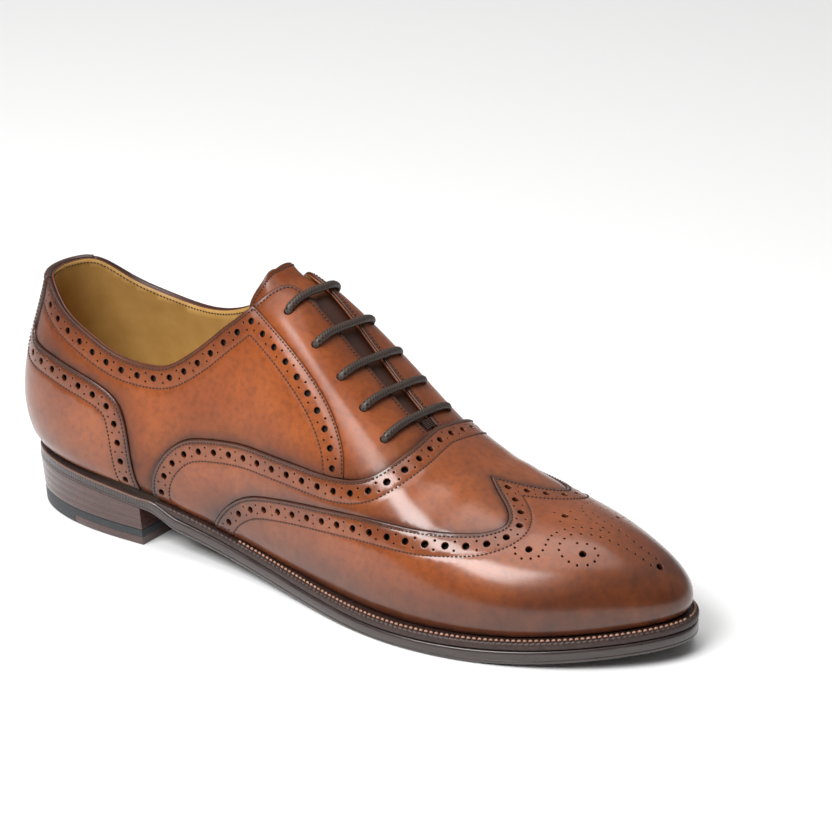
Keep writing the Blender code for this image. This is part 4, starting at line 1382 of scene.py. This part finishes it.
def pattern_under(spots):
    """Pattern points of the wing that lie under spots in plan."""
    grid_u, grid_w = np.meshgrid(np.linspace(*MEDALLION_U, 60), np.linspace(*MEDALLION_W, 80))
    u = grid_u.ravel()
    w = grid_w.ravel()

    def plan(u, w):
        points, _, _, normals = frames(u, w)
        return (points + normals * WING_TOP)[:, :2]

    grid = plan(u, w)
    nearest = [int(np.argmin(np.linalg.norm(grid - spot, axis=1))) for spot in spots]
    u = u[nearest]
    w = w[nearest]
    step = 0.01
    for _ in range(4):
        miss = spots - plan(u, w)
        du = (plan(u + step, w) - plan(u - step, w)) / (2 * step)
        dw = (plan(u, w + step) - plan(u, w - step)) / (2 * step)
        det = du[:, 0] * dw[:, 1] - du[:, 1] * dw[:, 0]
        u = u + np.clip((miss[:, 0] * dw[:, 1] - miss[:, 1] * dw[:, 0]) / det, -0.05, 0.05)
        w = w + np.clip((miss[:, 1] * du[:, 0] - miss[:, 0] * du[:, 1]) / det, -0.02, 0.02)
    return np.stack((u, w), axis=1)


def medallion():
    """Punched ornament on the toe, the same on both sides of its middle line."""
    rear = np.array(MEDALLION_REAR)
    ahead = np.array(MEDALLION_FRONT) - rear
    ahead /= np.linalg.norm(ahead)
    aside = np.array((-ahead[1], ahead[0]))
    found = []
    for table, radius in ((MEDALLION_HOLES, HOLE_RADIUS), (MEDALLION_PINS, MEDALLION_PIN)):
        marks = [(f, a * sign) for f, a in table for sign in ((-1, 1) if a else (1,))]
        spots = np.array([rear + ahead * f + aside * a for f, a in marks])
        found += [Hole(u, w, radius) for u, w in pattern_under(spots)]
    return found


# Wing cap: brogued edge with its peak on the crest, and the toe medallion
wing_outline = join_edges(
    wing_line,
    mirrored(wing_line)[::-1],
    foot_edge(WING_LINE[0][0], TOE, 1, WING_FOOT),
    straight_edge(foot_point(TOE, 1, WING_FOOT), (TOE, 1.0)),
    straight_edge((TOE, 1.0), foot_point(TOE, 0, WING_FOOT)),
    foot_edge(TOE, WING_LINE[0][0], 0, WING_FOOT),
)
wing_rows = [np.vstack(over_crest(wing_line, d)) for d in (EDGE_ROW, INNER_ROW)]
before, after = over_crest(wing_line, HOLE_ROW)
wing_holes = brogue(before[::-1], 0.0, wing_outline) + brogue(after, HOLE_PITCH, wing_outline)
wing_holes = keep_clear(wing_holes + medallion(), wing_outline)
wing = Panel("wing_leather", wing_outline, PANEL_BASE, WING_TOP, wing_rows, wing_holes, [wing_edge],
             [wing_edge], None, PANEL_SPACING, sheet)
build_panel(wing, [polished_calf] * 3, ["wing_cap"])
sew(stitches, wing_rows, wing_outline, WING_TOP)

# Facings with their eyelets, and the lining behind everything
EYELET_RADIUS = 1.75
FACING_ROW = 1.7


def eyelet(outer, side):
    """Pattern point of an eyelet or of its partner on the inner facing."""
    u, r = outer
    return (u, r) if side == 0 else (u + EYELET_LEAD, 2 - r - EYELET_RISE)


for side, label in ((0, "outer"), (1, "inner")):
    front = side_line(facing_line(side), side)
    edge = top_edge(FACING_CORNER, THROAT_END, side)
    lower = side_line(smooth_line([k for k in VAMP_LINE if k[0] >= FACING_LINE[-1][0]]), side)
    outline = join_edges(edge, [(THROAT_END, 1.0)], lower[::-1], front[::-1])
    holes = [Hole(*eyelet(outer, side), EYELET_RADIUS) for outer in EYELETS]
    rows = [offset(edge, inward(side) * FACING_ROW)]
    facing = Panel(f"facing_{label}_leather", outline, PANEL_BASE, FACING_TOP, rows, holes, [],
                   [edge, lower], None, FACING_SPACING, sheet)
    build_panel(facing, [calf] * 3, ["upper"])
    sew(stitches, rows, outline, FACING_TOP)

build_stitches("upper_stitches", stitches, STITCH_RADIUS, thread)

# Lining: the whole foot as one sheet, slit at the throat and joined at heel and toe
lining_outline = join_edges(
    foot_edge(0.0, TOE, 0, LINING_FOOT),
    straight_edge(foot_point(TOE, 0, LINING_FOOT), (TOE, 1.0)),
    straight_edge((TOE, 1.0), foot_point(TOE, 1, LINING_FOOT)),
    foot_edge(TOE, 0.0, 1, LINING_FOOT),
    straight_edge(foot_point(0.0, 1, LINING_FOOT), (0.0, 2 - float(top_line[1](0.0)) + COLLAR_LIP)),
    side_line(collar_line(0.0, FACING_CORNER, 1), 1),
    top_edge(FACING_CORNER, THROAT_END, 1),
    top_edge(THROAT_END, FACING_CORNER, 0),
    collar_line(FACING_CORNER, 0.0, 0),
    straight_edge((0.0, float(top_line[0](0.0)) - COLLAR_LIP), foot_point(0.0, 0, LINING_FOOT)),
)
lining_holes = [Hole(*eyelet(outer, side), EYELET_RADIUS) for outer in EYELETS for side in (0, 1)]
lining = Panel("lining_leather", lining_outline, LINING_IN, LINING_OUT, [], lining_holes, [], [], None,
               LINING_SPACING, sheet, True)
# The lining's outer face carries the near-black painted shade; its inner face is its own leather.
build_panel(lining, [shade_backing, calf, lining_hide], ["upper"])
HEM_START = 0.05
HEM_ROW = 1.5
HEM_HEIGHT = LINING_IN - 0.08
HEM_STITCH_RADIUS = 0.24
inner_stitches = []
for side in (0, 1):
    hem = offset(side_line(collar_line(HEM_START, FACING_CORNER, side), side), inward(side) * HEM_ROW)
    inner_stitches.append(stitch_run(hem, HEM_HEIGHT, flip=-1.0))
build_stitches("lining_stitches", inner_stitches, HEM_STITCH_RADIUS, thread)

# Tongue: a stitched, rounded leaf under the facings, with painted shade where the throat's slit shades it
TONGUE_TOP = -2.6
TONGUE_BASE = -4.4
TONGUE_ROW = 1.9
SLIT = (to_part((118.0, 0.0, 0.0))[0][0], to_part((128.0, 0.0, 0.0))[0][0])
SLIT_SHADE = 0.9
tongue_side = smooth_line(TONGUE_EDGE)
tongue_outline = join_edges(tongue_side, mirrored(tongue_side)[::-1])
tongue_rim = np.vstack((tongue_side, mirrored(tongue_side)[::-1][1:]))
tongue_row = offset(tongue_rim, -TONGUE_ROW, tongue_sheet)
tongue = Panel("tongue_leather", tongue_outline, TONGUE_BASE, TONGUE_TOP, [tongue_row], [], [], [tongue_rim],
               None, TONGUE_SPACING, tongue_sheet)
tongue_piece = build_panel(tongue, [calf, calf, lining_hide], ["tongue"])
# Painted shade: the tongue's dark value rises to near-black in the slit between the facings.
for vert, value in zip(tongue_piece.data.vertices, tongue_piece.data.attributes["dark"].data):
    value.value = max(value.value, SLIT_SHADE * float(smoothstep(vert.co.x, *SLIT)))
tongue_stitches = []
sew(tongue_stitches, [tongue_row], tongue_outline, TONGUE_TOP, tongue_sheet)
build_stitches("tongue_stitches", tongue_stitches, STITCH_RADIUS, thread)

# Lace: bars over the facings, dipping through the eyelets, with the runs between them under the facing edges
LACE_RADIUS = 1.4
LACE_BEND = 1.8
LACE_STEP = 0.22
LACE_SIDES = 28
LACE_REST = LACE_RADIUS + 0.12
LACE_ROW = 0.80
LACE_PEEP = 0.22
LACE_HIGH = 0.9
LACE_WIDE = 1.12

# Runs under the facing: height at the ends and more of it in the middle, width, and where they swell and thin
UNDER_HIGH = (0.22, 0.5)
UNDER_WIDE = 0.75
UNDER_SWELLS = (0.12, 0.36)
UNDER_THINS = (0.64, 0.88)

# Plait: strands round the lace, their turn by length, and how far they stand out and sink in
PLAIT_STRANDS = 2.5
PLAIT_TURN = 2.1
PLAIT_OUT = 0.22
PLAIT_IN = 0.18


def smooth_path(points):
    """Points at even spacing along straight runs between 3-D knots, with the corners rounded off."""
    along = lengths(points)
    fine = np.linspace(0, along[-1], max(8, round(along[-1] / LACE_STEP)) + 1)
    path = np.stack([np.interp(fine, along, points[:, k]) for k in range(3)], axis=1)
    reach = round(LACE_BEND / LACE_STEP)
    weights = np.hanning(2 * reach + 3)[1:-1]
    weights /= weights.sum()
    padded = np.pad(path, ((reach, reach), (0, 0)), mode="edge")
    path = np.stack([np.convolve(padded[:, k], weights, "valid") for k in range(3)], axis=1)
    return path, fine / along[-1]


def braided_tube(path, normals, high, wide):
    """Rings round a path: half height along the normal, half width across, with a plaited surface."""
    tangent = unit(np.gradient(path, axis=0))
    across = unit(np.cross(tangent, normals))
    up = np.cross(across, tangent)
    s = lengths(path)
    angles = np.arange(LACE_SIDES) * 2 * math.pi / LACE_SIDES
    rings = []
    strands = []
    for angle in angles:
        left = np.sin(PLAIT_STRANDS * angle + s * PLAIT_TURN)
        right = np.sin(PLAIT_STRANDS * angle - s * PLAIT_TURN)
        weave = np.maximum(np.abs(left), np.abs(right))
        plait = PLAIT_OUT * weave - PLAIT_IN
        strands.append(weave)
        rings.append(path + across * ((wide + plait) * math.cos(angle))[:, None]
                     + up * ((high + plait * high / LACE_RADIUS) * math.sin(angle))[:, None])
    points = np.stack(rings, axis=1).reshape(-1, 3)
    return points, capped(len(path), LACE_SIDES), np.stack(strands, axis=1).ravel()


def lace_bar(outer):
    """Route and normals of one bar, from under the outer eyelet to under the inner one."""
    heights = np.array([-3.2, -0.5, 0.75 * LACE_REST, 0.98 * LACE_REST, LACE_REST, LACE_REST, LACE_REST])
    route = []
    up = []
    for side in (0, 1):
        u, w = eyelet(outer, side)
        r = w if side == 0 else 2 - w
        rows = np.array([r, r, r + 0.012, r + 0.035, r + 0.08, 0.5 * r + 0.47, 0.915])
        ahead = u + (LACE_LEAD - (EYELET_LEAD if side else 0.0)) * (rows - r) / (1 - r)
        pattern = np.stack((ahead, rows if side == 0 else 2 - rows), axis=1)
        points, _, _, normals = frames(pattern[:, 0], pattern[:, 1])
        leg = points + normals * heights[:, None]
        route.append(leg if side == 0 else leg[::-1])
        up.append(normals if side == 0 else normals[::-1])
    return np.vstack(route), np.vstack(up)


def lace_under(first, second):
    """Flattened run on the tongue between two outer eyelets, showing a little in the gap."""
    steps = np.array([0.0, 0.12, 0.3, 0.5, 0.7, 0.88, 1.0])
    swing = np.array([0.0, 0.5, 0.95, 1.0, 0.95, 0.5, 0.0])
    lift = np.array([0.2, 0.25, 0.55, 0.7, 0.55, 0.25, 0.2])
    u = first + (second - first) * steps
    edge = top_line[0](u)
    rows = LACE_ROW + (edge + LACE_PEEP * (1 - edge) - LACE_ROW) * swing
    points, _, _, normals = frames(u, rows, tongue_sheet)
    return points + normals * (TONGUE_TOP + lift)[:, None], normals


def lace_stretch(route, up, thin):
    """Mesh of one stretch of lace: points, faces and weave. thin presses it flat at both ends."""
    path, t = smooth_path(route)
    steps = np.linspace(0, 1, len(up))
    normals = unit(np.stack([np.interp(t, steps, up[:, k]) for k in range(3)], axis=1))
    if thin:
        middle = smoothstep(t, *UNDER_SWELLS) * (1 - smoothstep(t, *UNDER_THINS))
        high = LACE_RADIUS * (UNDER_HIGH[0] + UNDER_HIGH[1] * middle)
    else:
        high = np.full(len(t), LACE_RADIUS * LACE_HIGH)
    wide = np.full(len(t), LACE_RADIUS * (UNDER_WIDE if thin else LACE_WIDE))
    return braided_tube(path, normals, high, wide)


def build_lace():
    stretches = [lace_stretch(*lace_bar(outer), False) for outer in EYELETS]
    for (first, _), (second, _) in zip(EYELETS, EYELETS[1:]):
        stretches.append(lace_stretch(*lace_under(first, second), True))
    points, faces, weave = zip(*stretches)
    starts = np.concatenate(([0], np.cumsum([len(p) for p in points])))
    joined = [tuple(int(i + start) for i in f) for start, part in zip(starts, faces) for f in part]
    make_object("lace", np.vstack(points), joined, [lace_cord], attributes={"weave": np.concatenate(weave)},
                replaced=[f"lace_bar_{k}" for k in range(1, len(EYELETS) + 1)])


build_lace()

# Bar tack that closes the foot of the throat
TACK_ENDS = (0.968, 1.032)
TACK_HEIGHT = 0.35
TACK_RADIUS = 0.3
tack_u = np.linspace(6.97, 7.06, 5)
tack = []
for end in TACK_ENDS:
    points, _, _, normals = frames(tack_u, np.full(len(tack_u), end))
    tack.append(points + normals * TACK_HEIGHT)
build_stitches("bar_tack", [(tack[0], tack[1], normals)], TACK_RADIUS, thread)

# Sole: welt with wheeled ribs and stitches, outsole, stacked heel and top piece
SOLE_SPACING = 1.4
WELT_SPACING = 0.42
HEEL_SPACING = 1.5
LOFT_SHARP = math.radians(42)
WELT_SHARP = math.radians(50)


def rim(u, side, outset):
    """Foot line moved out in plan: (x, y) and the foot's own x."""
    step = 0.01
    here = section_columns(u, side)
    tangent = unit(section_columns(u + step, side)[:, :2] - section_columns(u - step, side)[:, :2])
    sign = 1.0 if side == 0 else -1.0
    normal = np.stack((tangent[:, 1], -tangent[:, 0]), axis=1) * sign
    return here[:, :2] + normal * np.broadcast_to(outset, len(here))[:, None], here[:, 0]


def rim_top(x):
    return foot_height(x) - 2 * GAP - (WELT_THICK + GAP) * smoothstep(x, SEAT_FRONT, WAIST_FRONT)


def sole_under(x):
    return np.maximum(rim_top(x) - OUTSOLE_THICK, 0.0)


def side_stations(start, end, spacing):
    """u values from start to end, about evenly spaced on the sole's outer edge."""
    u = np.linspace(start, end, 400)
    along = lengths(rim(u, 0, edge_width[0](u))[0])
    return np.interp(np.linspace(0, along[-1], max(4, round(along[-1] / spacing)) + 1), along, u)


def round_loop(lines, outset, height, open_start=False):
    """Points round the sole: outset(u, side) in plan and height(foot x)."""
    closed_toe = lines[-1] >= TOE - ON_SEAM
    inner = lines[::-1][1 if closed_toe else 0:None if open_start else -1]
    parts = []
    for u, side in ((lines, 0), (inner, 1)):
        plan, foot_x = rim(u, side, outset(u, side))
        parts.append(np.column_stack((plan, height(foot_x))))
    return np.vstack(parts)


def loft(name, loops, materials, replaced, attributes=None):
    """Solid through loops of equal length from bottom to top, closed by strips from side to side."""
    count = len(loops[0])
    faces = ring_quads(len(loops), count)
    for k, flip in ((0, True), (len(loops) - 1, False)):
        a = k * count
        for i in range(count // 2):
            corners = list(dict.fromkeys((a + i, a + i + 1, a + count - 1 - i, a + (count - i) % count)))
            if len(corners) > 2:
                faces.append(tuple(corners[::-1] if flip else corners))
    obj = make_object(name, np.vstack(loops), faces, materials, None, attributes, replaced)
    obj.data.set_sharp_from_angle(angle=LOFT_SHARP)
    return obj


def under_welt(u, side):
    """Outset of the sole's raised middle, inside the welt."""
    return np.full(len(u), WELT_INSIDE - GAP)


def seat_height(x):
    return foot_height(x) - GAP


# Profile of the sole's edge, at the front and at the heel: how far inside it, and the height from its
# underside or its top. Then how much of the wheel's notches, with their painted shade, and of the pale rand,
# partly a painted highlight, shows at the heel.
EdgeRow = namedtuple("EdgeRow", "from_top inside height heel_inside heel_height wheel rand")
SOLE_PROFILE = [
    EdgeRow(0, 1.6, 0.0, 0.3, 0.0, 0, 0), EdgeRow(0, 0.55, 0.14, 0.1, 0.08, 0, 0),
    EdgeRow(0, 0.15, 0.55, 0.0, 0.3, 0, 0), EdgeRow(0, 0.0, 1.0, 0.0, 0.6, 0, 0),
    EdgeRow(1, 0.0, -3.9, 0.0, -4.45, 0, 0), EdgeRow(1, 0.14, -3.7, 0.10, -4.3, 0, 0),
    EdgeRow(1, 0.02, -3.5, 0.02, -4.15, 1, 0), EdgeRow(1, 0.0, -1.3, 0.0, -1.95, 1, 0),
    EdgeRow(1, 0.05, -1.1, 0.02, -1.8, 0, 0.2), EdgeRow(1, 0.15, -0.45, 0.10, -1.55, 0, 1),
    EdgeRow(1, 0.5, -0.08, 0.4, -1.4, 0, 0.3), EdgeRow(1, 1.2, 0.0, 1.0, -1.25, 0, 0),
]
HEEL_END = (62.0, 76.0)


def edge_loop(lines, row):
    """Loop round the sole through one row of its profile."""
    def heel(u, side):
        return 1 - smoothstep(section_columns(u, side)[:, 0], *HEEL_END)

    def outset(u, side):
        return edge_width[side](u) - row.inside - (row.heel_inside - row.inside) * heel(u, side)

    def level(x):
        base = rim_top(x) if row.from_top else sole_under(x)
        return base + row.height + (row.heel_height - row.height) * (1 - smoothstep(x, *HEEL_END))

    return round_loop(lines, outset, level)


sole_lines = side_stations(0.0, TOE, SOLE_SPACING)
loops = [edge_loop(sole_lines, row) for row in SOLE_PROFILE]
wheel = [row.wheel for row in SOLE_PROFILE] + [0, 0]
rand = [row.rand for row in SOLE_PROFILE] + [0, 0]
loops.append(round_loop(sole_lines, under_welt, rim_top))
loops.append(round_loop(sole_lines, under_welt, seat_height))
heel_part = [1 - smoothstep(loop[:, 0], *HEEL_END) for loop in loops]
loft("outsole_leather", loops, [sole_edge], ["outsole"], {
    "along": np.tile(lengths(loops[0]), len(loops)),
    "wheel": np.concatenate([part * value for part, value in zip(heel_part, wheel)]),
    "rand": np.concatenate([part * value for part, value in zip(heel_part, rand)]),
})

# Welt: swept profile, wheeled with ribs on its top edge
RIB_PITCH = 2.1
RIB_DEPTH = 0.34
welt_lines = side_stations(WELT_START, TOE, WELT_SPACING)


def welt_rings():
    rings = []
    for side, lines in ((0, welt_lines), (1, welt_lines[::-1][1:])):
        edge = edge_width[side](lines)
        plan, foot_x = rim(lines, side, edge)
        top = seat_height(foot_x)
        low = rim_top(foot_x) + GAP
        thick = top - low
        s = lengths(plan)
        rib = RIB_DEPTH * (0.5 - 0.5 * np.cos(2 * math.pi * s / RIB_PITCH))
        rib = rib * np.minimum(thick / WELT_THICK, 1)
        soft = np.minimum(0.9, 0.3 * thick)
        profile = [
            (WELT_INSIDE, low), (edge - soft, low), (edge - 0.25 * soft, low + 0.3 * soft),
            (edge, low + soft), (edge, top - soft - rib), (edge - 0.2 * soft, top - 0.35 * soft - rib),
            (edge - 0.8 * soft, top - rib), (edge - 1.8, top - 0.8 * rib), (edge - 3.0, top - 0.5 * rib),
            (edge - 3.9, top), (0.4, top), (WELT_INSIDE, top),
        ]
        columns_3d = [np.column_stack((rim(lines, side, outset)[0], z)) for outset, z in profile]
        rings.append(np.stack(columns_3d, axis=1))
    return np.concatenate(rings)


def build_welt():
    rings = welt_rings()
    stations, width, _ = rings.shape
    faces = [(a, d, c, b) for a, b, c, d in ring_quads(stations, width)]
    faces.append(tuple(range(width)))
    faces.append(tuple(range((stations - 1) * width, stations * width))[::-1])
    obj = make_object("welt_strip", rings.reshape(-1, 3), faces, [welt_hide],
                      replaced=["welt"])
    obj.data.set_sharp_from_angle(angle=WELT_SHARP)


build_welt()

WELT_STITCH_START = 4.6
WELT_STITCH_IN = 1.5
WELT_STITCH_LONG = 1.5
WELT_STITCH_LIFT = 0.06
WELT_STITCH_RADIUS = 0.5
welt_runs = []
for side in (0, 1):
    lines = side_stations(WELT_STITCH_START, TOE, 0.5)
    plan, foot_x = rim(lines, side, edge_width[side](lines) - WELT_STITCH_IN)
    path = np.column_stack((plan, seat_height(foot_x) + WELT_STITCH_LIFT))
    s = lengths(path)
    starts = np.arange(0.4, s[-1] - WELT_STITCH_LONG, RIB_PITCH)
    ends = [np.stack([np.interp(starts + d, s, path[:, k]) for k in range(3)], axis=1)
            for d in (0.0, WELT_STITCH_LONG)]
    welt_runs.append((ends[0], ends[1], np.tile((0.0, 0.0, 1.0), (len(starts), 1))))
build_stitches("welt_stitches", welt_runs, WELT_STITCH_RADIUS, welt_thread)

# Heel: layers of leather, a rubber top piece and its leather front
HEEL_LAYERS = 4
STACK_GAP = 0.05
LAYER_GROOVE = 0.04
LAYER_SOFT = 0.12
HEEL_SEAT = float(foot_height(SECTIONS[0].foot_x))
heel_lines = side_stations(0.0, BREAST, HEEL_SPACING)


def heel_outset(inside_by, height):
    def outset(u, side):
        return edge_width[side](u) - HEEL_TAPER * (1 - min(height / HEEL_SEAT, 1.0)) - inside_by
    return outset


def heel_loop(inside_by, fraction, shift=0.0):
    """Loop of the stack at a fraction of its height, under the sloping seat."""
    low = TOP_PIECE + GAP

    def level(x):
        return low + (sole_under(x) - STACK_GAP - low) * fraction + shift

    return round_loop(heel_lines, heel_outset(inside_by, low + (HEEL_SEAT - low) * fraction), level, True)


loops = [heel_loop(LAYER_GROOVE, 0.0)]
for k in range(HEEL_LAYERS):
    loops.append(heel_loop(0.0, k / HEEL_LAYERS, LAYER_SOFT))
    loops.append(heel_loop(0.0, (k + 1) / HEEL_LAYERS, -LAYER_SOFT))
    loops.append(heel_loop(LAYER_GROOVE, (k + 1) / HEEL_LAYERS))
loft("heel_stack_leather", loops, [stack_edge], ["heel_stack"])


def block_loop(inside_by, height):
    def level(x):
        return np.full(len(x), height)

    return round_loop(heel_lines, heel_outset(inside_by, height), level, True)


def cut_by_box(obj, operation, back, top):
    """Cut a piece with a box from x = back forward, reaching from below the floor up to top."""
    low = to_part((back, -60.0, -10.0))[0]
    high = to_part((90.0, 60.0, top))[0]
    mesh = bpy.data.meshes.new("cutter")
    bm = bmesh.new()
    bmesh.ops.create_cube(bm, size=1.0)
    for vert in bm.verts:
        vert.co = [(a + b) / 2 + (b - a) * c for a, b, c in zip(low, high, vert.co)]
    bm.to_mesh(mesh)
    bm.free()
    cutter = bpy.data.objects.new("cutter", mesh)
    add_to_scene(cutter)
    modifier = obj.modifiers.new("cut", "BOOLEAN")
    modifier.operation = operation
    modifier.object = cutter
    bpy.context.view_layer.update()
    cut = bpy.data.meshes.new_from_object(obj.evaluated_get(bpy.context.evaluated_depsgraph_get()))
    obj.modifiers.remove(modifier)
    obj.data = cut
    bpy.data.objects.remove(cutter, do_unlink=True)


# Top piece, (inside the edge, height) of its loops, and the clearance round its leather front
TOP_PIECE_ROWS = [(0.5, 0.0), (0.12, 0.15), (0.0, 0.5), (0.0, TOP_PIECE - 0.3), (0.12, TOP_PIECE)]
TIP_CLEAR = 0.1
rubber_loops = [block_loop(*row) for row in TOP_PIECE_ROWS]
tip_top = TOP_PIECE - RUBBER_LAYER
top_piece = loft("heel_rubber_piece", rubber_loops, [rubber], ["heel_rubber"])
cut_by_box(top_piece, "DIFFERENCE", TIP_START - TIP_CLEAR, tip_top + TIP_CLEAR)
tip = loft("heel_tip_leather", rubber_loops, [stack_edge], ["heel_leather_tip"])
cut_by_box(tip, "INTERSECT", TIP_START, tip_top)

# Insole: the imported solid, with the lining's leather
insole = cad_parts["insole"]
insole.data.materials.clear()
insole.data.materials.append(lining_hide)

# Camera: the photograph's angle on the shoe
TARGET = to_part((150.0, 0.0, 40.0))[0]
AZIMUTH = math.radians(35.0)
ELEVATION = math.radians(23.7)
DISTANCE = 1.5
LENS = 171.35
SENSOR = 36.0
SHIFT_X = 0.060
SHIFT_Y = 0.071
camera_data = bpy.data.cameras.new("camera")
camera = bpy.data.objects.new("camera", camera_data)
add_to_scene(camera)
toward = Vector((math.sin(AZIMUTH) * math.cos(ELEVATION), -math.cos(AZIMUTH) * math.cos(ELEVATION),
                 math.sin(ELEVATION)))
camera.location = Vector(TARGET) + toward * DISTANCE
camera.rotation_euler = (-toward).to_track_quat("-Z", "Y").to_euler()
camera_data.lens = LENS
camera_data.sensor_width = SENSOR
camera_data.shift_x = SHIFT_X
camera_data.shift_y = SHIFT_Y
bpy.context.scene.camera = camera

# Studio: white table, large soft lights, and a glow that grows upwards and behind the shoe
SUN_POWER = 1.05
SUN_ANGLE = math.radians(50.0)
TABLE_HALF = 6.0
TABLE_WHITE = (0.9, 0.9, 0.9, 1)
TABLE_ROUGH = 0.7
GLOW_UP = (0.25, 0.9, 0.05, 0.27)
GLOW_BEHIND = (0.1, 0.7, 0.0, 0.2)


def area_light(name, place, aim, size, power, color=(1.0, 1.0, 1.0)):
    data = bpy.data.lights.new(name, "AREA")
    data.shape = "RECTANGLE"
    data.size, data.size_y = size
    data.energy = power
    data.color = color
    light = bpy.data.objects.new(name, data)
    light.location = place
    light.rotation_euler = (Vector(aim) - Vector(place)).to_track_quat("-Z", "Y").to_euler()
    add_to_scene(light)


area_light("overhead", place=(-0.3, 0.1, 1.2), aim=(0.0, 0.0, 0.03), size=(1.2, 0.9), power=3.0,
           color=(1.0, 0.98, 0.96))
area_light("softbox", place=(-0.08, -0.75, 0.85), aim=(0.06, -0.02, 0.05), size=(0.75, 0.48), power=15.0)

sun_data = bpy.data.lights.new("sun", "SUN")
sun_data.energy = SUN_POWER
sun_data.angle = SUN_ANGLE
add_to_scene(bpy.data.objects.new("sun", sun_data))

floor_mesh = bpy.data.meshes.new("table")
corners = [(x * TABLE_HALF, y * TABLE_HALF, 0) for x, y in ((-1, -1), (1, -1), (1, 1), (-1, 1))]
floor_mesh.from_pydata(corners, [], [(0, 1, 2, 3)])
floor = bpy.data.objects.new("table", floor_mesh)
floor_material, _, floor_shader = node_tree("white_table")
set_inputs(floor_shader, {"Base Color": TABLE_WHITE, "Roughness": TABLE_ROUGH})
floor_mesh.materials.append(floor_material)
add_to_scene(floor)

world = bpy.data.worlds.new("studio")
bpy.context.scene.world = world
world.use_nodes = True
sky = world.node_tree
direction = add_node(sky, "ShaderNodeTexCoord")
parts = add_node(sky, "ShaderNodeSeparateXYZ")
sky.links.new(direction.outputs["Generated"], parts.inputs[0])
glow = math_node(sky, "ADD", remap(sky, parts.outputs["Z"], *GLOW_UP),
                 remap(sky, parts.outputs["Y"], *GLOW_BEHIND))
sky.nodes["Background"].inputs["Color"].default_value = (1, 1, 1, 1)
sky.links.new(glow, sky.nodes["Background"].inputs["Strength"])

view = bpy.context.scene.view_settings
view.view_transform = "Standard"
view.look = "None"
